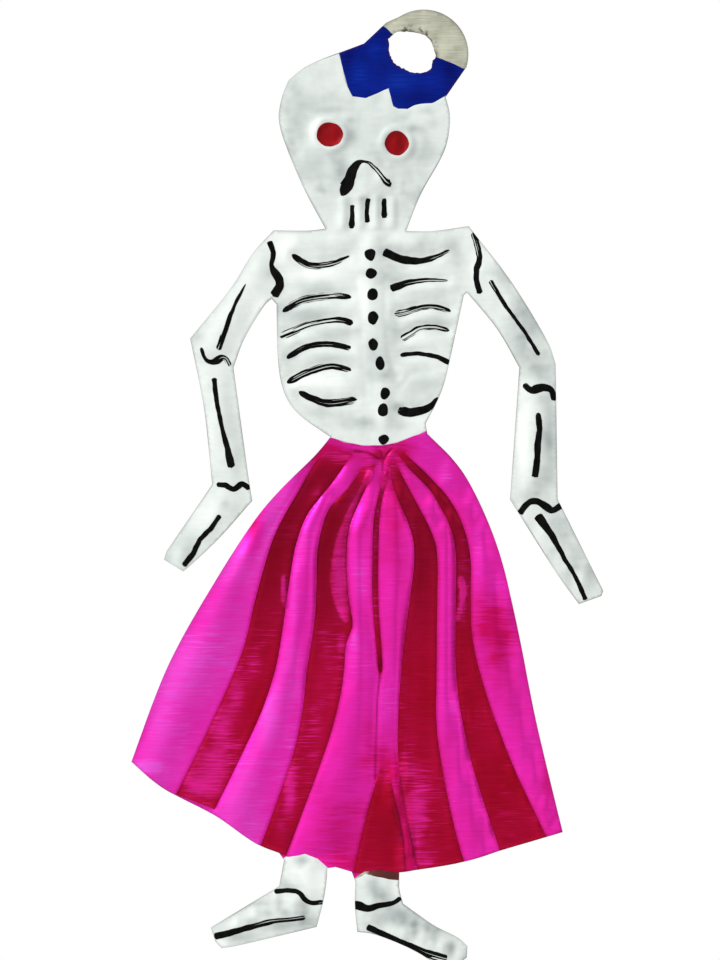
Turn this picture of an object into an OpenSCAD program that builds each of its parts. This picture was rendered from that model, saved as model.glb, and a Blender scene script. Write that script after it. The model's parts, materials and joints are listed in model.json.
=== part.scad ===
// Flat catrina figure: one cut and embossed tin sheet carrying separately laid coats of paint.
// Axes: +X to the viewer's right, +Z up, the painted face looks along -Y.
// The origin is the middle of the hanging eye, on the flat back of the sheet.
// Outline points are drawing units, [x, z] from the soles, one unit = 1 mm at the usual height.

/* [Figure] */
// Height of the whole figure from the soles to the top of the hanging tab
figure_h = 152.4; // [120:0.2:200]
// Thickness of the tin sheet
sheet_t = 0.3; // [0.2:0.05:0.6]
// Thickness of one coat of paint
paint_t = 0.06; // [0.04:0.01:0.12]

/* [Hanging tab] */
// Diameter of the punched hanging eye
eye_d = 7.0; // [4:0.1:8]
// Diameter of the rounded end of the tab
tab_d = 14.3; // [13.6:0.1:15]

/* [Embossing] */
// Height of the skirt's flutes above the flat sheet
flute_h = 1.1; // [0.2:0.1:2]
// Height of the raised bones, skull and limbs above the flat sheet
bone_h = 0.8; // [0.2:0.1:1.6]

/* [Brushwork] */
// Width of the brush lines as a share of the usual width
line_weight = 1.0; // [0.7:0.05:1.5]

/* [Hidden] */
usual_h = 152.4;
s = figure_h / usual_h;
eye_at = [6.5, 145.6];
tab_at = [8.5, 145.25];
tab_r = tab_d / 2;
flat_above = 141;
skirt_top = 85;
skirt_foot = 17;
sheet_front = sheet_t;
second_coat = sheet_t + paint_t;
tool_front = 6;
tool_back = 1;
$fn = 48;

// ---------- curves ----------

// One point of the smooth curve from b to c, with a and d the neighbours on either side
function spline_point(a, b, c, d, t) =
    0.5 * (2 * b + (c - a) * t + (2 * a - 5 * b + 4 * c - d) * t * t + (3 * b - a - 3 * c + d) * t * t * t);

// Smooth curve through the points, with n steps between neighbours
function curve(points, n = 3) = let (last = len(points) - 1) concat(
    [for (i = [0 : last - 1], k = [0 : n - 1])
        spline_point(points[max(i - 1, 0)], points[i], points[i + 1], points[min(i + 2, last)], k / n)],
    [points[last]]
);

// Circle arc about a middle, from one angle to another
function arc(middle, r, from, to, n = 18) =
    [for (i = [0 : n]) let (a = from + (to - from) * i / n) middle + r * [cos(a), sin(a)]];

function reversed(list) = [for (i = [len(list) - 1 : -1 : 0]) list[i]];

// Edges of the pleats are kept as [z, x] pairs, so that they can be looked up by height
function as_points(edge) = [for (e = edge) [e[1], e[0]]];

// ---------- outline of the sheet ----------

head_right = [[12.0, 138.4], [12.7, 135.0], [11.8, 129.8], [8.1, 123.0], [5.7, 117.0]];
arm_right = [
    [9.8, 117.0], [15.7, 117.8], [22.9, 108.3], [28.6, 98.7], [29.6, 95.7], [29.9, 74.2],
    [37.2, 59.5], [36.9, 58.7], [33.3, 57.4], [30.1, 61.8], [22.3, 74.1], [23.8, 95.2],
    [20.2, 101.4], [15.4, 107.2]
];
chest_right = [[14.9, 106.7], [13.2, 98.8], [11.5, 91.8], [8.8, 86.2]];
skirt_right = [[9.1, 84.6], [15.0, 78.1], [20.2, 66.8], [23.5, 53.6], [26.4, 39.0], [30.7, 21.0]];
hem_right = [[30.7, 21.0], [25.9, 19.5], [20.4, 17.9], [13.6, 15.9], [4.6, 14.5]];
leg_right = [
    [4.6, 12.0], [5.2, 9.5], [10.4, 5.9], [14.1, 4.0], [15.5, 2.7], [15.4, 0.9], [14.2, 0.1],
    [10.2, 0.0], [7.4, 1.8], [2.2, 4.1], [-0.2, 4.8], [-2.1, 5.0], [-2.5, 9.3], [-2.4, 13.0]
];
hem_middle = [[-3.0, 14.6], [-5.6, 15.4], [-6.9, 15.2]];
leg_left = [
    [-7.0, 13.4], [-7.5, 10.1], [-8.6, 5.8], [-21.8, 2.7], [-23.8, 2.4], [-24.8, 3.5],
    [-25.5, 5.7], [-14.6, 12.3], [-13.8, 16.5]
];
hem_left = [[-14.6, 17.6], [-18.4, 19.2], [-24.5, 23.4], [-32.8, 27.8], [-38.2, 32.2]];
skirt_left = [[-38.2, 32.2], [-32.5, 47.2], [-25.2, 60.4], [-17.2, 72.5], [-9.1, 80.9], [-6.4, 84.1]];
chest_left = [[-6.4, 84.1], [-12.3, 88.6], [-14.6, 94.6], [-15.0, 105.3]];
arm_left = [
    [-15.8, 106.2], [-16.8, 105.3], [-20.2, 99.7], [-21.9, 95.2], [-19.4, 77.0], [-18.9, 73.9],
    [-24.3, 67.8], [-28.5, 63.8], [-29.9, 62.6], [-33.0, 64.5], [-32.6, 65.8], [-25.3, 76.5],
    [-26.6, 88.6], [-28.8, 99.8], [-21.8, 108.6], [-18.7, 113.6], [-15.5, 117.1], [-9.4, 117.1]
];
head_left = [[-7.2, 117.4], [-11.0, 124.6], [-14.4, 133.4], [-14.3, 137.8], [-13.1, 141.1]];
head_top = [[-10.3, 143.3], [-1.0, 147.0], [2.5, 150.3]];

outline = concat(
    arc(tab_at, tab_r, 122, -16),
    curve(head_right),
    arm_right,
    curve(chest_right),
    curve(skirt_right),
    curve(hem_right),
    leg_right,
    hem_middle,
    leg_left,
    curve(hem_left),
    curve(skirt_left),
    curve(chest_left),
    arm_left,
    curve(head_left),
    head_top
);

// ---------- pleats of the skirt, as [z, x] pairs down each edge ----------

outer_left = [
    [[82, -6.8], [80, -8.8], [75, -11.7], [70, -14.6], [65, -16.5], [56, -18.9], [50, -20.4], [41, -24.2], [27, -31.0]],
    [[81.3, -3.0], [77, -6.0], [72, -9.9], [68, -11.6], [64, -12.5], [56, -13.7], [47, -15.2], [38, -18.4], [24.6, -24.9]]
];
inner_left = [
    [[79.3, -1.3], [76, -3.5], [73, -6.3], [70, -7.6], [65, -8.5], [56, -8.8], [47, -10.1], [35, -11.9], [18.6, -17.6]],
    [[79.6, 0.8], [75, -1.2], [70, -3.3], [65, -3.8], [59, -3.6], [54, -2.9], [51, -3.9], [44, -4.6], [35, -6.9], [17.2, -13.5]]
];
centre_top = [
    [[78.4, 2.2], [74, 1.1], [70, 0.5], [64, 0.3], [57, 0.4], [51, 0.9], [46.5, 1.3]],
    [[78.7, 3.0], [74, 1.8], [70, 1.4], [64, 1.2], [57, 1.3], [51, 1.7], [46.5, 1.9]]
];
centre_hem = [
    [[31, 1.6], [29, 0.9], [24.4, -0.4], [20, -1.5], [14.5, -2.7]],
    [[31, 2.9], [29, 3.3], [24.4, 4.3], [20, 5.2], [14.5, 5.7]]
];
inner_right = [
    [[79.8, 3.0], [76, 3.7], [73, 4.9], [69, 6.5], [64, 7.0], [53, 5.6], [44, 4.7], [36, 4.4], [30, 4.7], [23, 5.8], [14.4, 7.7]],
    [[80.4, 3.9], [77, 5.5], [72, 8.2], [68, 10.1], [64, 10.7], [53, 10.6], [44, 10.5], [36, 10.7], [23, 13.1], [15.4, 15.2]]
];
outer_right = [
    [[81.4, 4.3], [79, 6.2], [76, 9.2], [73, 11.1], [69, 13.0], [64, 13.7], [53, 13.6], [44, 13.9], [32, 16.2], [17.2, 21.0]],
    [[81.7, 5.3], [79, 8.1], [76, 11.1], [73, 13.3], [69, 15.1], [64, 16.0], [53, 16.2], [44, 18.2], [32, 22.6], [19.6, 28.4]]
];

// Furrows of the embossing run under the pleats; the middle one is a bare crease between its two pleats
centre_furrow = [
    [[79, 1.9], [71, 0.4], [57, 0.3], [44, 1.0], [34, 0.9], [29, 0.9], [14, -2.7]],
    [[79, 2.7], [71, 1.4], [57, 1.3], [44, 1.5], [34, 1.5], [29, 3.3], [14, 5.7]]
];
side_left = [[85, -7], [72.6, -17.3], [60.7, -25.6], [47.2, -32.5], [32.2, -38.2], [17, -42]];
side_right = [[85, 9], [78.1, 15.0], [67, 20.4], [53.6, 23.5], [39, 26.4], [17, 31.7]];
furrows = [outer_left, inner_left, centre_furrow, inner_right, outer_right];

// ---------- embossing ----------

// Smooth mound: 1 at its middle, 0 from r outwards
function mound(d, r) = d < r ? (1 + cos(180 * d / r)) / 2 : 0;

// Smooth step from 0 below lo to 1 above hi
function rise(v, lo, hi) = let (t = max(0, min(1, (v - lo) / (hi - lo)))) t * t * (3 - 2 * t);

function from_segment(p, a, b) =
    let (ab = b - a, t = max(0, min(1, ((p - a) * ab) / (ab * ab)))) norm(p - a - t * ab);

// Each bone is a rounded ridge: two ends, half-width at its foot, and height as a share of bone_h
bones = [
    [[-18.6, 110.0], [-24.8, 98.2], 3.0, 0.9],
    [[-24.9, 93.6], [-22.3, 78.6], 2.8, 0.9],
    [[-22.9, 73.0], [-30.2, 65.2], 2.6, 0.8],
    [[18.9, 111.2], [26.2, 98.0], 3.0, 0.9],
    [[26.9, 92.0], [26.4, 77.0], 3.0, 0.9],
    [[26.8, 72.0], [34.4, 60.2], 2.6, 0.8],
    [[-10.6, 16.5], [-11.0, 11.5], 2.8, 0.8],
    [[-11.0, 8.0], [-22.6, 4.8], 2.4, 0.8],
    [[1.0, 13.5], [1.2, 10.0], 2.8, 0.8],
    [[0.8, 7.2], [12.4, 2.4], 2.4, 0.8],
    [[0.1, 114.5], [1.9, 86.5], 2.6, 0.8],
    [[-12.0, 114.6], [-4.0, 114.6], 1.9, 0.6],
    [[3.6, 115.0], [12.0, 115.6], 1.9, 0.6],
    [[-10.5, 92.0], [-4.0, 92.0], 2.2, 0.6],
    [[5.0, 92.6], [9.5, 93.4], 2.4, 0.6],
    [[-6.5, 132.4], [-6.5, 132.3], 3.6, 0.7],
    [[4.2, 131.0], [4.2, 130.9], 3.6, 0.7],
    [[-1.0, 127.6], [1.2, 124.6], 2.6, 0.9],
    [[-4.2, 119.4], [3.6, 120.4], 2.4, 0.5]
];

// The ribs are waves between the spine and the side of the chest:
// height of the first crest, distance between crests, middle and sag of their bow
rib_waves = [[104.8, 3.85, -5, 0.035], [107.0, 3.85, 9, 0.05]];

function rib_wave(x, z) =
    let (w = x < 1 ? rib_waves[0] : rib_waves[1], aside = abs(x - 1.0 + (z < 98 ? -0.6 : 0.4)))
    let (phase = (z - w[0] + w[3] * (x - w[2]) * (x - w[2])) / w[1])
    (1 + cos(360 * phase)) / 2
        * rise(aside, 2.4, 4.4) * (1 - rise(aside, 10.6, 13.4))
        * rise(z, 93.4, 95.4) * (1 - rise(z, 107.6, 109.6));

skull_middle = [-1, 130];

function skull_dome(x, z) = mound(norm([x, z] - skull_middle), 10.9);

// Height of one flute at x, between the right edge of one furrow and the left edge of the next
function arch(x, lo, hi) = x <= lo || x >= hi ? 0 : sin(180 * (x - lo) / (hi - lo));

function flute(x, z) = let (gores = [for (i = [0 : len(furrows)])
    arch(x,
        i == 0 ? lookup(z, side_left) : lookup(z, furrows[i - 1][1]),
        i == len(furrows) ? lookup(z, side_right) : lookup(z, furrows[i][0]))])
    max(gores) * (1 - rise(z, 70, 82)) * rise(z, 15, 17);

function bone_relief(x, z) =
    max(concat([0.45 * rib_wave(x, z)], [for (b = bones) b[3] * mound(from_segment([x, z], b[0], b[1]), b[2])]))
        + 0.5 * skull_dome(x, z);

// The skirt takes the flutes; arms, hands, legs and everything above the waist take the bones
function in_skirt(x, z) = z > skirt_foot - 2 && z < skirt_top - 3
    && x > lookup(z, side_left) && x < lookup(z, side_right);

function relief(x, z) = z >= flat_above ? 0 : in_skirt(x, z) ? flute_h * flute(x, z) : bone_h * bone_relief(x, z);

// ---------- sheet and coats ----------

// Lattice of the embossing: coarse down the skirt, whose flutes run up and down, finer elsewhere
columns = [for (x = [-40 : 2 : 38]) x];
rows = concat(
    [for (z = [-1 : 2 : skirt_foot - 2]) z],
    [for (z = [skirt_foot : 4 : skirt_top - 4]) z],
    [for (z = [skirt_top : 2 : 91]) z],
    [for (z = [93 : 1.6 : 109]) z],
    [for (z = [111 : 2 : flat_above]) z],
    [155]
);

// Solid between two depths in front of the sheet's back, following the embossing
module embossed_slab(back, front) {
    nc = len(columns);
    nr = len(rows);
    face = nc * nr;
    back_points = [for (z = rows, x = columns) [s * x, -relief(x, z) - back, s * z]];
    front_points = [for (z = rows, x = columns) [s * x, -relief(x, z) - front, s * z]];
    cells = [for (r = [0 : nr - 2], c = [0 : nc - 2]) r * nc + c];
    rim = concat(
        [for (c = [0 : nc - 2]) c],
        [for (r = [0 : nr - 2]) r * nc + nc - 1],
        [for (c = [nc - 1 : -1 : 1]) (nr - 1) * nc + c],
        [for (r = [nr - 1 : -1 : 1]) r * nc]
    );
    walls = [for (i = [0 : len(rim) - 1]) [rim[i], rim[(i + 1) % len(rim)]]];
    polyhedron(
        points = concat(back_points, front_points),
        faces = concat(
            [for (c = cells) [c, c + 1, c + nc + 1]],
            [for (c = cells) [c, c + nc + 1, c + nc]],
            [for (c = cells) [face + c, face + c + nc + 1, face + c + 1]],
            [for (c = cells) [face + c, face + c + nc, face + c + nc + 1]],
            [for (w = walls) [w[0], face + w[1], w[1]]],
            [for (w = walls) [w[0], face + w[0], face + w[1]]]
        )
    );
}

// Stands a flat drawing up, facing -Y, from one depth to another
module upright(back, front) {
    translate([0, -back, 0]) rotate([90, 0, 0]) linear_extrude(front - back) children();
}

// Moves the drawing so that the hanging eye is the origin
module about_eye() {
    translate([-s * eye_at[0], 0, -s * eye_at[1]]) children();
}

// Layer with the outline of its drawing; the outer resize keeps its own size and makes it one mesh
module layer(back, front) {
    about_eye() resize([0, 0, 0]) intersection() {
        embossed_slab(back, front);
        upright(-tool_back, tool_front) children();
    }
}

module first_coat() {
    layer(sheet_front, sheet_front + paint_t) children();
}

module top_coat() {
    layer(second_coat, second_coat + paint_t) children();
}

module drawing(points) {
    polygon(s * points);
}

module band(low, high) {
    translate([s * -60, s * low]) square([s * 120, s * (high - low)]);
}

module eye_hole() {
    translate(s * eye_at) circle(d = eye_d);
}

module tin_sheet() {
    color("#bcbea7") union() {
        layer(0, sheet_t) intersection() {
            drawing(outline);
            band(-2, flat_above);
        }
        about_eye() upright(0, sheet_t) difference() {
            intersection() {
                drawing(outline);
                band(flat_above, usual_h + 2);
            }
            eye_hole();
        }
    }
}

// ---------- first coats ----------

waist = [[-9, 83.6], [-6.4, 84.0], [-2.7, 83.0], [1.0, 82.7], [3.4, 83.0], [6.8, 84.3], [8.9, 85.1], [11, 85.6]];
left_gap = [[-15, 79], [-17.6, 73.7], [-22.6, 67.8], [-28.5, 60.5]];
right_gap = [[19, 76], [23.6, 67], [28, 56]];
left_cuff = [[-16, 16.2], [-13.6, 16.9], [-10.4, 17.5], [-8.4, 16.8], [-6.7, 15.2], [-5, 13.8]];
right_cuff = [[-4, 13.1], [-2.4, 13.5], [-0.9, 14.2], [3.9, 13.3], [6, 13.1]];
right_hem = [[-4, 14.0], [-2.4, 13.7], [-1.1, 14.6], [1.5, 14.9], [4.7, 14.5], [6, 14.2]];

// Edge between the hat and the bare tab, over the hanging eye
hat_top = [[2.0, 149.8], [3.6, 148.4], [6.5, 145.6], [10.2, 144.9], [14.8, 143.1]];
hat_brim = [
    [15.6, 142.6], [12.2, 138.7], [10.0, 137.5], [7.2, 137.1], [5.9, 136.5], [4.4, 136.6], [3.6, 137.0],
    [2.9, 139.8], [0.8, 138.9], [-0.8, 138.2], [-2.8, 138.5], [-3.6, 139.9], [-5.0, 145.3], [-5.4, 147.0]
];

// All of the sheet between the waist and the hem, passing between the hands and the skirt
module skirt_region() {
    drawing(concat(waist, right_gap, [[45, 17], [15, 12]], reversed(right_hem), reversed(left_cuff),
        [[-50, 20], [-45, 34]], reversed(left_gap)));
}

module white_enamel_upper() {
    color("#e6e9e5") first_coat() difference() {
        drawing(outline);
        skirt_region();
        band(-3, 20);
        drawing(concat([[2.0, 158], [30, 158], [30, 142.6]], hat_brim));
    }
}

module white_enamel_left_leg() {
    color("#e6e9e5") first_coat() intersection() {
        drawing(outline);
        drawing(concat(left_cuff, [[-5, -2], [-30, -2], [-30, 9]]));
    }
}

module white_enamel_right_leg() {
    color("#dfe3e1") first_coat() intersection() {
        drawing(outline);
        drawing(concat(right_cuff, [[20, 6], [20, -2], [-4, -2]]));
    }
}

module skirt_drawing() {
    intersection() {
        drawing(outline);
        skirt_region();
    }
}

module magenta_lacquer_skirt() {
    color("#dd2596") first_coat() skirt_drawing();
}

module pleat(edges) {
    color("#a30a26") top_coat() intersection() {
        skirt_drawing();
        drawing(concat(curve(as_points(edges[0]), 2), reversed(curve(as_points(edges[1]), 2))));
    }
}

module red_pleat_outer_left() { pleat(outer_left); }
module red_pleat_inner_left() { pleat(inner_left); }
module red_pleat_centre_top() { pleat(centre_top); }
module red_pleat_centre_hem() { pleat(centre_hem); }
module red_pleat_inner_right() { pleat(inner_right); }
module red_pleat_outer_right() { pleat(outer_right); }

module blue_lacquer_hat() {
    color("#0b1d86") first_coat() difference() {
        intersection() {
            drawing(outline);
            drawing(concat(hat_top, hat_brim));
        }
        eye_hole();
    }
}

// ---------- second coats: eyes and black brush lines ----------

module eye_paint(middle, size) {
    color("#8f1016") top_coat() translate(s * middle) scale(s * size) circle(d = 1, $fn = 18);
}

module red_eye_left() { eye_paint([-6.5, 132.4], [4.2, 3.9]); }
module red_eye_right() { eye_paint([4.2, 131.0], [3.8, 3.9]); }

// Outline of a brush line through the points, its width running evenly from first to last
function brush_line(points, first, last) = let (
    path = curve(points, 2),
    n = len(path) - 1,
    ahead = [for (i = [0 : n]) let (d = path[min(i + 1, n)] - path[max(i - 1, 0)]) d / norm(d)],
    half = [for (i = [0 : n]) line_weight * (first + (last - first) * i / n) / 2],
    left = [for (i = [0 : n]) path[i] + half[i] * [-ahead[i][1], ahead[i][0]]],
    right = [for (i = [0 : n]) path[i] - half[i] * [-ahead[i][1], ahead[i][0]]]
) concat([path[0] - half[0] * ahead[0]], left, [path[n] + half[n] * ahead[n]], reversed(right));

module brushed(lines) {
    color("#101012") top_coat() intersection() {
        drawing(outline);
        union() for (l = lines) drawing(brush_line(l[0], l[1], l[2]));
    }
}

module nose_stroke() {
    brushed([
        [[[-4.0, 123.4], [-3.3, 126.2], [-2.6, 127.6], [-1.4, 128.3]], 1.7, 0.8],
        [[[-1.7, 128.2], [-0.2, 127.9], [1.5, 126.1], [2.9, 124.3]], 0.6, 0.9]
    ]);
}

module teeth_strokes() {
    brushed([
        [[[-2.9, 120.8], [-3.0, 117.9]], 0.6, 0.9],
        [[[-0.4, 121.8], [-0.6, 120.2], [-0.5, 118.7]], 0.7, 0.6],
        [[[2.2, 121.8], [2.2, 119.5]], 0.7, 0.8]
    ]);
}

module spine_dots() {
    dots = [
        [-0.1, 113.2, 1.6, 1.6], [0.1, 110.2, 1.6, 1.4], [0.4, 106.9, 1.3, 1.6], [0.4, 103.1, 1.3, 1.8],
        [0.4, 98.9, 1.3, 1.6], [1.6, 95.9, 1.1, 1.8], [2.3, 91.1, 1.3, 1.6], [2.0, 88.4, 1.3, 1.8],
        [2.1, 83.7, 1.4, 1.3]
    ];
    color("#101012") top_coat() intersection() {
        band(82.9, 120);
        union() for (d = dots)
            translate(s * [d[0], d[1]]) scale(s * line_weight * [d[2], d[3]]) circle(d = 1, $fn = 12);
    }
}

module collarbone_left() {
    brushed([[[[-12.1, 112.9], [-10.1, 111.6], [-7.8, 111.5], [-5.6, 112.0], [-3.7, 112.9]], 1.0, 0.7]]);
}

module collarbone_right() {
    brushed([[[[2.8, 113.4], [4.9, 112.5], [7.5, 112.2], [10.0, 112.7], [12.3, 113.8]], 1.4, 0.6]]);
}

module rib_strokes_left() {
    brushed([
        [[[-13.6, 104.4], [-11.6, 105.7], [-9.3, 106.3], [-6.0, 106.7], [-3.5, 106.5]], 0.9, 0.7],
        [[[-14.0, 100.3], [-11.7, 101.3], [-9.4, 102.2], [-5.3, 102.9], [-3.2, 102.4]], 0.9, 0.7],
        [[[-12.9, 97.0], [-10.8, 98.3], [-8.4, 98.9], [-5.8, 98.9], [-3.6, 98.4]], 1.0, 0.8],
        [[[-12.9, 93.0], [-10.9, 94.1], [-8.5, 95.0], [-6.0, 95.5], [-3.6, 94.9]], 0.9, 0.9],
        [[[-11.0, 91.1], [-9.2, 90.2], [-7.1, 89.5], [-4.9, 89.6], [-2.8, 90.0]], 0.9, 1.1]
    ]);
}

module rib_strokes_right() {
    brushed([
        [[[3.8, 108.0], [5.7, 108.7], [7.9, 109.1], [10.1, 109.2], [12.2, 109.1]], 1.1, 0.3],
        [[[4.4, 103.8], [6.1, 104.2], [8.3, 104.9], [10.5, 104.9], [12.5, 104.3]], 1.0, 0.6],
        [[[5.4, 100.0], [7.4, 101.4], [9.0, 101.7], [10.6, 101.6], [12.2, 101.2]], 0.9, 0.7],
        [[[5.1, 97.2], [6.8, 97.4], [8.7, 97.3], [10.7, 96.9], [12.2, 96.1]], 0.6, 0.9],
        [[[5.2, 88.2], [6.5, 88.0], [8.1, 88.3], [9.5, 88.9], [10.6, 90.0]], 1.5, 0.9]
    ]);
}

module shoulder_left() {
    brushed([[[[-15.8, 114.9], [-15.5, 113.1], [-15.4, 111.0], [-14.5, 109.1], [-14.9, 107.2]], 0.9, 1.4]]);
}

module shoulder_right() {
    brushed([[[[16.6, 116.3], [17.0, 114.3], [17.2, 111.9], [16.9, 109.5], [17.2, 107.5]], 1.0, 1.0]]);
}

module upper_arm_left() {
    brushed([[[[-20.1, 108.2], [-21.3, 106.0], [-22.4, 103.4], [-23.3, 100.8], [-24.1, 98.5]], 0.6, 1.0]]);
}

module upper_arm_right() {
    brushed([[[[19.3, 108.6], [21.0, 106.0], [23.1, 103.1], [25.1, 100.1], [26.7, 97.5]], 0.9, 0.7]]);
}

module elbow_left() {
    brushed([[[[-26.9, 98.0], [-26.1, 96.4], [-24.9, 96.1], [-23.5, 96.8], [-22.7, 95.8]], 0.7, 0.8]]);
}

module elbow_right() {
    brushed([[[[24.8, 92.1], [25.8, 91.6], [27.2, 91.9], [28.5, 91.7], [29.2, 90.5]], 0.9, 1.1]]);
}

module forearm_left() {
    brushed([[[[-24.9, 93.1], [-24.6, 90.0], [-23.9, 86.4], [-23.0, 82.8], [-22.3, 79.8]], 0.7, 1.1]]);
}

module forearm_right() {
    brushed([[[[26.8, 87.4], [27.0, 85.3], [26.7, 82.9], [26.6, 80.4], [26.3, 78.2]], 1.0, 1.0]]);
}

module wrist_left() {
    brushed([[[[-24.1, 76.5], [-23.1, 76.2], [-21.8, 76.0], [-20.6, 76.4], [-19.6, 76.2]], 0.8, 0.8]]);
}

module wrist_right() {
    brushed([[[[24.2, 72.3], [25.6, 73.7], [27.3, 73.6], [28.9, 72.8], [30.0, 72.8]], 1.1, 1.1]]);
}

module hand_left() {
    brushed([[[[-24.3, 71.2], [-25.6, 69.5], [-27.2, 67.6], [-28.4, 65.5], [-29.6, 63.9]], 0.8, 0.9]]);
}

module hand_right() {
    brushed([[[[27.1, 71.0], [29.0, 68.3], [31.0, 64.9], [32.9, 61.5], [34.1, 58.5]], 1.4, 0.9]]);
}

module ankle_left() {
    brushed([[[[-14.9, 11.5], [-13.2, 11.4], [-11.3, 11.1], [-9.8, 9.8], [-8.0, 9.8]], 0.8, 0.8]]);
}

module ankle_right() {
    brushed([[[[-2.1, 9.1], [-0.4, 8.8], [1.4, 9.3], [3.2, 9.5], [4.6, 9.9]], 1.1, 0.8]]);
}

module foot_left() {
    brushed([[[[-10.8, 7.3], [-13.1, 7.0], [-16.0, 6.7], [-20.2, 5.5], [-24.4, 4.4]], 0.7, 1.0]]);
}

module foot_right() {
    brushed([[[[-0.1, 5.6], [2.4, 4.5], [5.3, 3.2], [8.3, 1.8], [11.6, 0.8]], 0.9, 1.2]]);
}

tin_sheet();
white_enamel_upper();
white_enamel_left_leg();
white_enamel_right_leg();
magenta_lacquer_skirt();
red_pleat_outer_left();
red_pleat_inner_left();
red_pleat_centre_top();
red_pleat_centre_hem();
red_pleat_inner_right();
red_pleat_outer_right();
blue_lacquer_hat();
red_eye_left();
red_eye_right();
nose_stroke();
teeth_strokes();
spine_dots();
collarbone_left();
collarbone_right();
rib_strokes_left();
rib_strokes_right();
shoulder_left();
shoulder_right();
upper_arm_left();
upper_arm_right();
elbow_left();
elbow_right();
forearm_left();
forearm_right();
wrist_left();
wrist_right();
hand_left();
hand_right();
ankle_left();
ankle_right();
foot_left();
foot_right();
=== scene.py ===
"""Looks of the embossed and painted tin catrina figure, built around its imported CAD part.

Every CAD piece is replaced by a finer closed shell with the same outline: the tin sheet, and each film of
paint lying on it. All of them follow one relief, which starts as the CAD sheet's own embossing and gains
the small tool marks. x runs to the viewer's right, z up, and the painted face looks along -y.
"""

import json
import math

import bpy
import numpy as np
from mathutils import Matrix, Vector, geometry, noise
from mathutils.bvhtree import BVHTree


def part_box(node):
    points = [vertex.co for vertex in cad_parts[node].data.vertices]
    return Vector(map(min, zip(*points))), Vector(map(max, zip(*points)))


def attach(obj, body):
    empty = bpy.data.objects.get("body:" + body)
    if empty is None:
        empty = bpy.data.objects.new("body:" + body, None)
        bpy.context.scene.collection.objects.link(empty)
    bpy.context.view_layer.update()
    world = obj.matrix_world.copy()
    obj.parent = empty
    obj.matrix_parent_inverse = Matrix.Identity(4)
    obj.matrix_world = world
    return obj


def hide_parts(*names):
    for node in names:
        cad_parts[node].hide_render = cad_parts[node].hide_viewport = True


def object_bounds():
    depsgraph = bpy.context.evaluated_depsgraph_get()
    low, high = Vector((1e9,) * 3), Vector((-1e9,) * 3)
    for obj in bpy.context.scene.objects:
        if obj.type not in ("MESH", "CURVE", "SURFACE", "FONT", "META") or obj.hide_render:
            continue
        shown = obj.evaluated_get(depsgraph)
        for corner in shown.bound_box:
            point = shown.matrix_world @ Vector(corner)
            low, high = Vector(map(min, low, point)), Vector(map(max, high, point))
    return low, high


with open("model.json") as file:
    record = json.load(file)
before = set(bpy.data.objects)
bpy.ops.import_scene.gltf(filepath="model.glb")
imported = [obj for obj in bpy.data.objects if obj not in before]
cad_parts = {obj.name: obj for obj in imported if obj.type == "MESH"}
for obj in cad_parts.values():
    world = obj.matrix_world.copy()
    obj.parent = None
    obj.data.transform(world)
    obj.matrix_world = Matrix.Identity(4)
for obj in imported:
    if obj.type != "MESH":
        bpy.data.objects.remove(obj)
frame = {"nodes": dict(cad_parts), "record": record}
cad_low, cad_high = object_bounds()

MM = 0.001
# Keeps a division from failing where a length is 0
TINY = 1e-18
SHEET = "tin_sheet"
SHEET_T = 0.3 * MM
COAT_T = 0.06 * MM

# ---- reading the CAD pieces

# Corners of CAD triangles this near each other are one point
SNAP = 0.001 * MM
# How far a face's unit normal may lean to the viewer on a piece's side, which is seen edge on
EDGE_ON = 0.02


def cad_corners(node):
    """Corners of every triangle of a CAD node, as an array (triangles, 3, 3)."""
    mesh = frame["nodes"][node].data
    mesh.calc_loop_triangles()
    points = np.empty(len(mesh.vertices) * 3)
    mesh.vertices.foreach_get("co", points)
    corner = np.empty(len(mesh.loop_triangles) * 3, np.int32)
    mesh.loop_triangles.foreach_get("vertices", corner)
    return points.reshape(-1, 3)[corner.reshape(-1, 3)]


def straightened(loop, slack=3 * SNAP):
    """The loop without the points that lie on a straight run between their neighbours."""
    kept = list(range(len(loop)))
    changed = True
    while changed:
        changed = False
        for k in range(len(kept) - 1, -1, -1):
            a, b, c = (loop[kept[(k + j) % len(kept)]] for j in (-1, 0, 1))
            run = c - a
            off = abs(run[0] * (b - a)[1] - run[1] * (b - a)[0]) / (np.hypot(*run) + TINY)
            if off < slack and len(kept) > 3:
                del kept[k]
                changed = True
    return loop[kept]


def sides(triangles):
    """The edges of triangles, each as a pair of corners in its triangle's direction."""
    return [(tuple(tri[i]), tuple(tri[(i + 1) % 3])) for tri in triangles for i in range(3)]


def outlines(node):
    """Closed outlines of a piece seen from the front, as arrays of (x, z): the piece is on their left."""
    corners = cad_corners(node)
    normal = np.cross(corners[:, 1] - corners[:, 0], corners[:, 2] - corners[:, 0])
    facing = normal[:, 1] / (np.linalg.norm(normal, axis=1) + TINY)
    keys = np.round(corners[:, :, [0, 2]] / SNAP).astype(np.int64)
    rim = {frozenset(edge) for edge in sides(keys[np.abs(facing) < EDGE_ON]) if edge[0] != edge[1]}
    after = dict(edge for edge in sides(keys[facing < -EDGE_ON]) if frozenset(edge) in rim)
    loops = []
    while after:
        start, here = after.popitem()
        loop = [start]
        while here != start and here in after:
            loop.append(here)
            here = after.pop(here)
        if len(loop) > 3:
            loops.append(straightened(np.array(loop) * SNAP))
    return loops


# ---- outlines made smooth

# Points of a smooth outline are about this far apart
FINE = 0.35 * MM


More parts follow.
